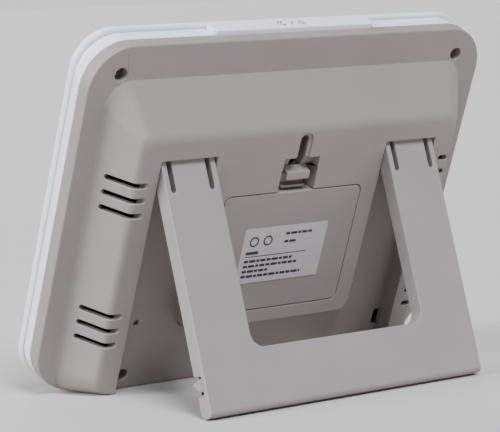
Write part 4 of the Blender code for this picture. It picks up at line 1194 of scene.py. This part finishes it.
def build_stand():
    stand = raw_object("stand_tray", profile(stand_side(), -STAND_HALF, STAND_HALF))
    cut(stand, stand_window(), "stand_window")
    cut(stand, stand_hollow(), "stand_hollow")
    cut(stand, finger_slots(), "finger_slots")
    cut(stand, tooth_notches(), "tooth_notches")
    join(stand, snap_teeth(), "teeth")
    join(stand, stand_pivots(), "pivots")
    settle(stand, STAND_ROUND)
    dress(stand, "stand", "stand", "beige", "stand", place=STAND_PLACE)


# ---- fasteners and cells ----


def screw_profile(tip, under):
    """Height and radius of a pan head screw, from its tip to the top of its head."""
    side = under + 0.5 * SCREW_HEAD_HEIGHT
    points = [(tip, SCREW_SHANK), (under, SCREW_SHANK), (under + STEP, SCREW_HEAD), (side, SCREW_HEAD)]
    for step in range(1, 9):
        angle = math.radians(90 * step / 9)
        points.append((
            under + SCREW_HEAD_HEIGHT * (0.5 + 0.5 * math.sin(angle)),
            SCREW_HEAD * (0.55 + 0.45 * math.cos(angle)),
        ))
    return points


def build_screws():
    for number, ((x, y), back, seat) in enumerate(screw_places(), 1):
        under = back - seat + GAP
        tip = max(-FRONT_CASE_DEPTH + SCREW_FLOOR, under - SCREW_LENGTH)
        top = under + SCREW_HEAD_HEIGHT
        screw = raw_object(f"screw_{number}", lofted([
            [(*point, z) for point in circle(radius, x, y, SMALL_ROUND_STEPS)]
            for z, radius in screw_profile(tip, under)
        ]))
        for name, arm, blade in (("a", CROSS_ARM, CROSS_BLADE), ("b", CROSS_BLADE, CROSS_ARM)):
            slot = box(x - arm, x + arm, y - blade, y + blade, top - CROSS_DEPTH, top + 1 * MM)
            cut(screw, slot, f"cross_{number}{name}")
        settle(screw)
        dress(screw, "steel", "case", "steel", f"case_screw_{number}")


def cell_profile():
    """Place and radius along a cell, from its flat end to the tip of its nub."""
    end = CELL_LENGTH / 2
    edge = 0.5 * MM
    nub_edge = 0.3 * MM
    points = [(-end, CELL_RADIUS - 2 * edge), (-end + 2 * STEP, CELL_RADIUS - edge)]
    for along, inward in list(quarter(FINE_EDGE_STEPS))[1:]:
        points.append((-end + edge * along, CELL_RADIUS - edge * inward))
    points += [(-x, radius) for x, radius in reversed(points)]
    points += [
        (end + STEP, CELL_NUB_RADIUS),
        (end + CELL_NUB - nub_edge, CELL_NUB_RADIUS),
        (end + CELL_NUB, CELL_NUB_RADIUS - nub_edge),
    ]
    return points


def build_cells():
    depth = well_front() + GAP + CELL_RADIUS
    middle = (DOOR_LOW + DOOR_HIGH) / 2
    for number in range(CELL_COUNT):
        up = middle + (number - (CELL_COUNT - 1) / 2) * CELL_PITCH
        side = 1 if number % 2 else -1
        cell = lofted([
            [(side * x, y, z) for y, z in circle(radius, up, depth)]
            for x, radius in cell_profile()
        ])
        piece(f"cell_{number + 1}", cell, "cell", "case", "cell", f"battery_cell_{number + 1}")


# ---- marks: bar pictograms, display and keys ----


def stroke(bm, points, width, flat, low=SKIN / 4, high=SKIN):
    """A line of constant width through points, laid on a face by flat(point, height)."""
    for (ax, ay), (bx, by) in zip(points, points[1:]):
        length = math.hypot(bx - ax, by - ay)
        nx, ny = -(by - ay) / length * width / 2, (bx - ax) / length * width / 2
        ends = ((ax + nx, ay + ny), (bx + nx, by + ny), (bx - nx, by - ny), (ax - nx, ay - ny))
        loft(bm, [[flat(p, high) for p in ends], [flat(p, low) for p in ends]])


def hoop(x, y, radius):
    return arc(x, y, radius, 0, 360)


def rays(x, reach, turns):
    """Short lines that point out from a middle at (x, 0), reach running from near to far."""
    for turn in map(math.radians, turns):
        yield [(x + r * math.cos(turn), r * math.sin(turn)) for r in reach]


def build_bar_marks():
    """A crescent, a slash and a small lit lamp, read from behind the unit's top edge."""
    middle = (BAR_FRONT + BAR_BACK) / 2

    def flat(point, height):
        return (point[0] * MM, BAR_TOP + height, middle - point[1] * MM)

    bm = bmesh.new()
    for line in (
        arc(-5.4, 0, 1.9, 50, 310),
        arc(-4.2, 0, 1.5, 74, 286),
        [(-1.0, -1.9), (1.0, 1.9)],
        hoop(5.2, 0, 1.0),
        *rays(5.2, (1.5, 2.2), range(0, 360, 45)),
    ):
        stroke(bm, line, 0.5, flat)
    piece("bar_pictograms", bm, "icon", "light_bar", "white")


def display_flat(point, height):
    """Display drawings are laid out as read from the front, in millimetres from the window's middle."""
    middle = (WINDOW_LOW + WINDOW_HIGH) / 2
    glass = -FRONT_CASE_DEPTH + FRONT_CASE_WALL + GAP
    return (-point[0] * MM, middle + point[1] * MM, glass - height)


SEGMENTS = {
    "0": "abcdef", "1": "bc", "2": "abged", "3": "abgcd", "4": "fgbc",
    "5": "afgcd", "6": "afgedc", "7": "abc", "8": "abcdefg", "9": "abcdfg",
}


def raise_figure(bm, outline):
    loft(bm, [[display_flat(p, height) for p in outline] for height in (SKIN * 2, SKIN)])


def digit(bm, figure, x, y, height):
    """One leaning seven-segment digit. Returns where the next one starts."""
    width = height * 0.5
    bar = height * 0.11
    half = height / 2
    lean = 0.08
    trim = bar * 0.62
    tip = bar / 2
    places = {
        "a": ((0.0, height), (width, height)),
        "g": ((0.0, half), (width, half)),
        "d": ((0.0, 0.0), (width, 0.0)),
        "f": ((0.0, half), (0.0, height)),
        "b": ((width, half), (width, height)),
        "e": ((0.0, 0.0), (0.0, half)),
        "c": ((width, 0.0), (width, half)),
    }
    for name in SEGMENTS[figure]:
        (ax, ay), (bx, by) = places[name]
        length = math.hypot(bx - ax, by - ay)
        ux, uy = (bx - ax) / length * trim, (by - ay) / length * trim
        line = [(ax + ux, ay + uy), (bx - ux, by - uy)]
        (sx, sy), (ex, ey) = [(x + px + py * lean, y + py) for px, py in line]
        length = math.hypot(ex - sx, ey - sy)
        vx, vy = (ex - sx) / length * tip, (ey - sy) / length * tip
        raise_figure(bm, [
            (sx - vx, sy - vy), (sx - vy, sy + vx), (ex - vy, ey + vx),
            (ex + vx, ey + vy), (ex + vy, ey - vx), (sx + vy, sy - vx),
        ])
    return x + width + height * 0.26


def figures(bm, text, x, y, height):
    """A row of digits, points and colons. Returns where it ends."""
    dot = height * 0.06
    for figure in text:
        if figure == ".":
            raise_figure(bm, circle(dot, x - height * 0.07, y, 16))
            x += height * 0.07
        elif figure == ":":
            for share in (0.3, 0.7):
                raise_figure(bm, circle(dot, x + height * 0.03, y + height * share, 16))
            x += height * 0.22
        else:
            x = digit(bm, figure, x, y, height)
    return x


def build_display_marks():
    """Digits, frames and a sun behind a cloud, dark on the liquid crystal glass."""
    bm = bmesh.new()
    frames = (
        [(-75, 12), (75, 12)], [(-75, -22), (75, -22)], [(-8, 12), (-8, 48)], [(18, -22), (18, 12)],
    )
    lines = [(line, 0.5) for line in frames]
    end = figures(bm, "21.4", -66, 18, 22)
    lines.append((hoop(end + 1, 38, 1.8), 0.8))
    end = figures(bm, "48", 6, 18, 22)
    lines.append(([(end + 1, 22), (end + 8, 34)], 0.9))
    lines += [(hoop(end + 1.6, 32.5, 1.5), 0.8), (hoop(end + 7.4, 23.5, 1.5), 0.8)]
    end = figures(bm, "12.8", -66, -15, 19)
    lines.append((hoop(end + 1, 3, 1.6), 0.7))
    figures(bm, "10:24", -66, -44, 16)
    figures(bm, "10.19", 6, -44, 16)
    lines.append((arc(54, 0, 5.5, 20, 250), 1.0))
    lines += [(ray, 1.0) for ray in rays(54, (7.4, 10.0), range(48, 201, 38))]
    left_puff = arc(48, -11, 4.0, 100, 270)
    cloud = left_puff + arc(66, -10.5, 4.5, -90, 80) + arc(58, -7, 6.0, 30, 160) + left_puff[:1]
    lines.append((cloud, 1.1))
    for line, width in lines:
        stroke(bm, line, width, display_flat, SKIN, SKIN * 2)
    piece("display_figures", bm, "marks", "case", "black")


KEY_MARKS = (
    ([(-1.5, 0), (1.5, 0)], [(0, -1.5), (0, 1.5)]),
    ([(-1.5, 0), (1.5, 0)],),
    (hoop(0, 0, 1.3),),
    (hoop(0, 0, 1.5), [(0, 1.0), (0, 0), (0.8, 0)]),
    ([(-1.6, -0.9), (0, 1.2), (1.6, -0.9), (-1.6, -0.9)],),
)


def build_keys():
    """Five pill keys, each with a lip behind the bezel and a generic mark on its face."""
    front = -BEZEL_FRONT - KEY_PROUD
    lip_front = -FRONT_CASE_DEPTH + FRONT_CASE_WALL + GAP / 2
    depth, inset = 0.4 * MM, 0.5 * MM
    rings = [(front + depth * down, -inset * inward) for down, inward in quarter(FINE_EDGE_STEPS)]
    rings += [(lip_front, 0), (lip_front + STEP, KEY_LIP), (lip_front + KEY_LIP_THICK, KEY_LIP)]
    for index, (middle, lines) in enumerate(zip(key_places(), KEY_MARKS), 1):
        cap = lofted([[(x, y, z) for x, y in key_outline(middle, grow)] for z, grow in rings])
        piece(f"key_cap_{index}", cap, "key", f"key_{index}", "white", f"key_{index}")

        def flat(point, height, middle=middle):
            return (middle - point[0] * MM, KEY_UP + point[1] * MM, front - height)

        bm = bmesh.new()
        for line in lines:
            stroke(bm, line, 0.4, flat)
        piece(f"key_mark_{index}", bm, "icon", f"key_{index}", "white")


CARRIED = {
    "display_lens": "clear", "lcd_glass": "lcd", "backlight": "diffuser", "contact_strip": "rubber",
    "main_board": "board", "receiver_module": "board", "sensor_board": "board",
    "processor": "black", "buzzer": "black", "humidity_sensor": "white", "receiver_antenna": "brass",
    "light_switch_left": "black", "light_switch_right": "black", "reset_switch": "black",
    "reset_button": "black", "battery_contact_left": "steel", "battery_contact_right": "steel",
}


def dress_carried_nodes():
    """Every CAD node that stays gets its finished material."""
    switches = {f"key_switch_{i + 1}": "black" for i in range(KEY_COUNT)}
    springs = {f"battery_spring_{i + 1}": "steel" for i in range(CELL_COUNT)}
    for name, look in (CARRIED | switches | springs).items():
        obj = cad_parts[name]
        for slot in obj.material_slots:
            slot.material = LOOKS[look]


FLOOR_HALF = 3.0
FLOOR_DROP = 0.2 * MM  # below the feet, so that no two faces share a plane


def make_floor():
    bm = bmesh.new()
    half = FLOOR_HALF
    corners = ((-half, -half), (half, -half), (half, half), (-half, half))
    bm.faces.new([bm.verts.new((x, y, -FLOOR_DROP)) for x, y in corners])
    floor = raw_object("studio_floor", bm)
    floor.data.materials.append(LOOKS["floor"])


LOOKS = make_materials()
for make in (
    make_camera, make_lights, make_floor,
    build_rear_cover, build_front_case, build_front_bezel, build_light_bar, build_bar_marks,
    build_door, build_latch, build_label, build_stand, build_screws, build_cells,
    build_display_marks, build_keys, dress_carried_nodes,
):
    make()
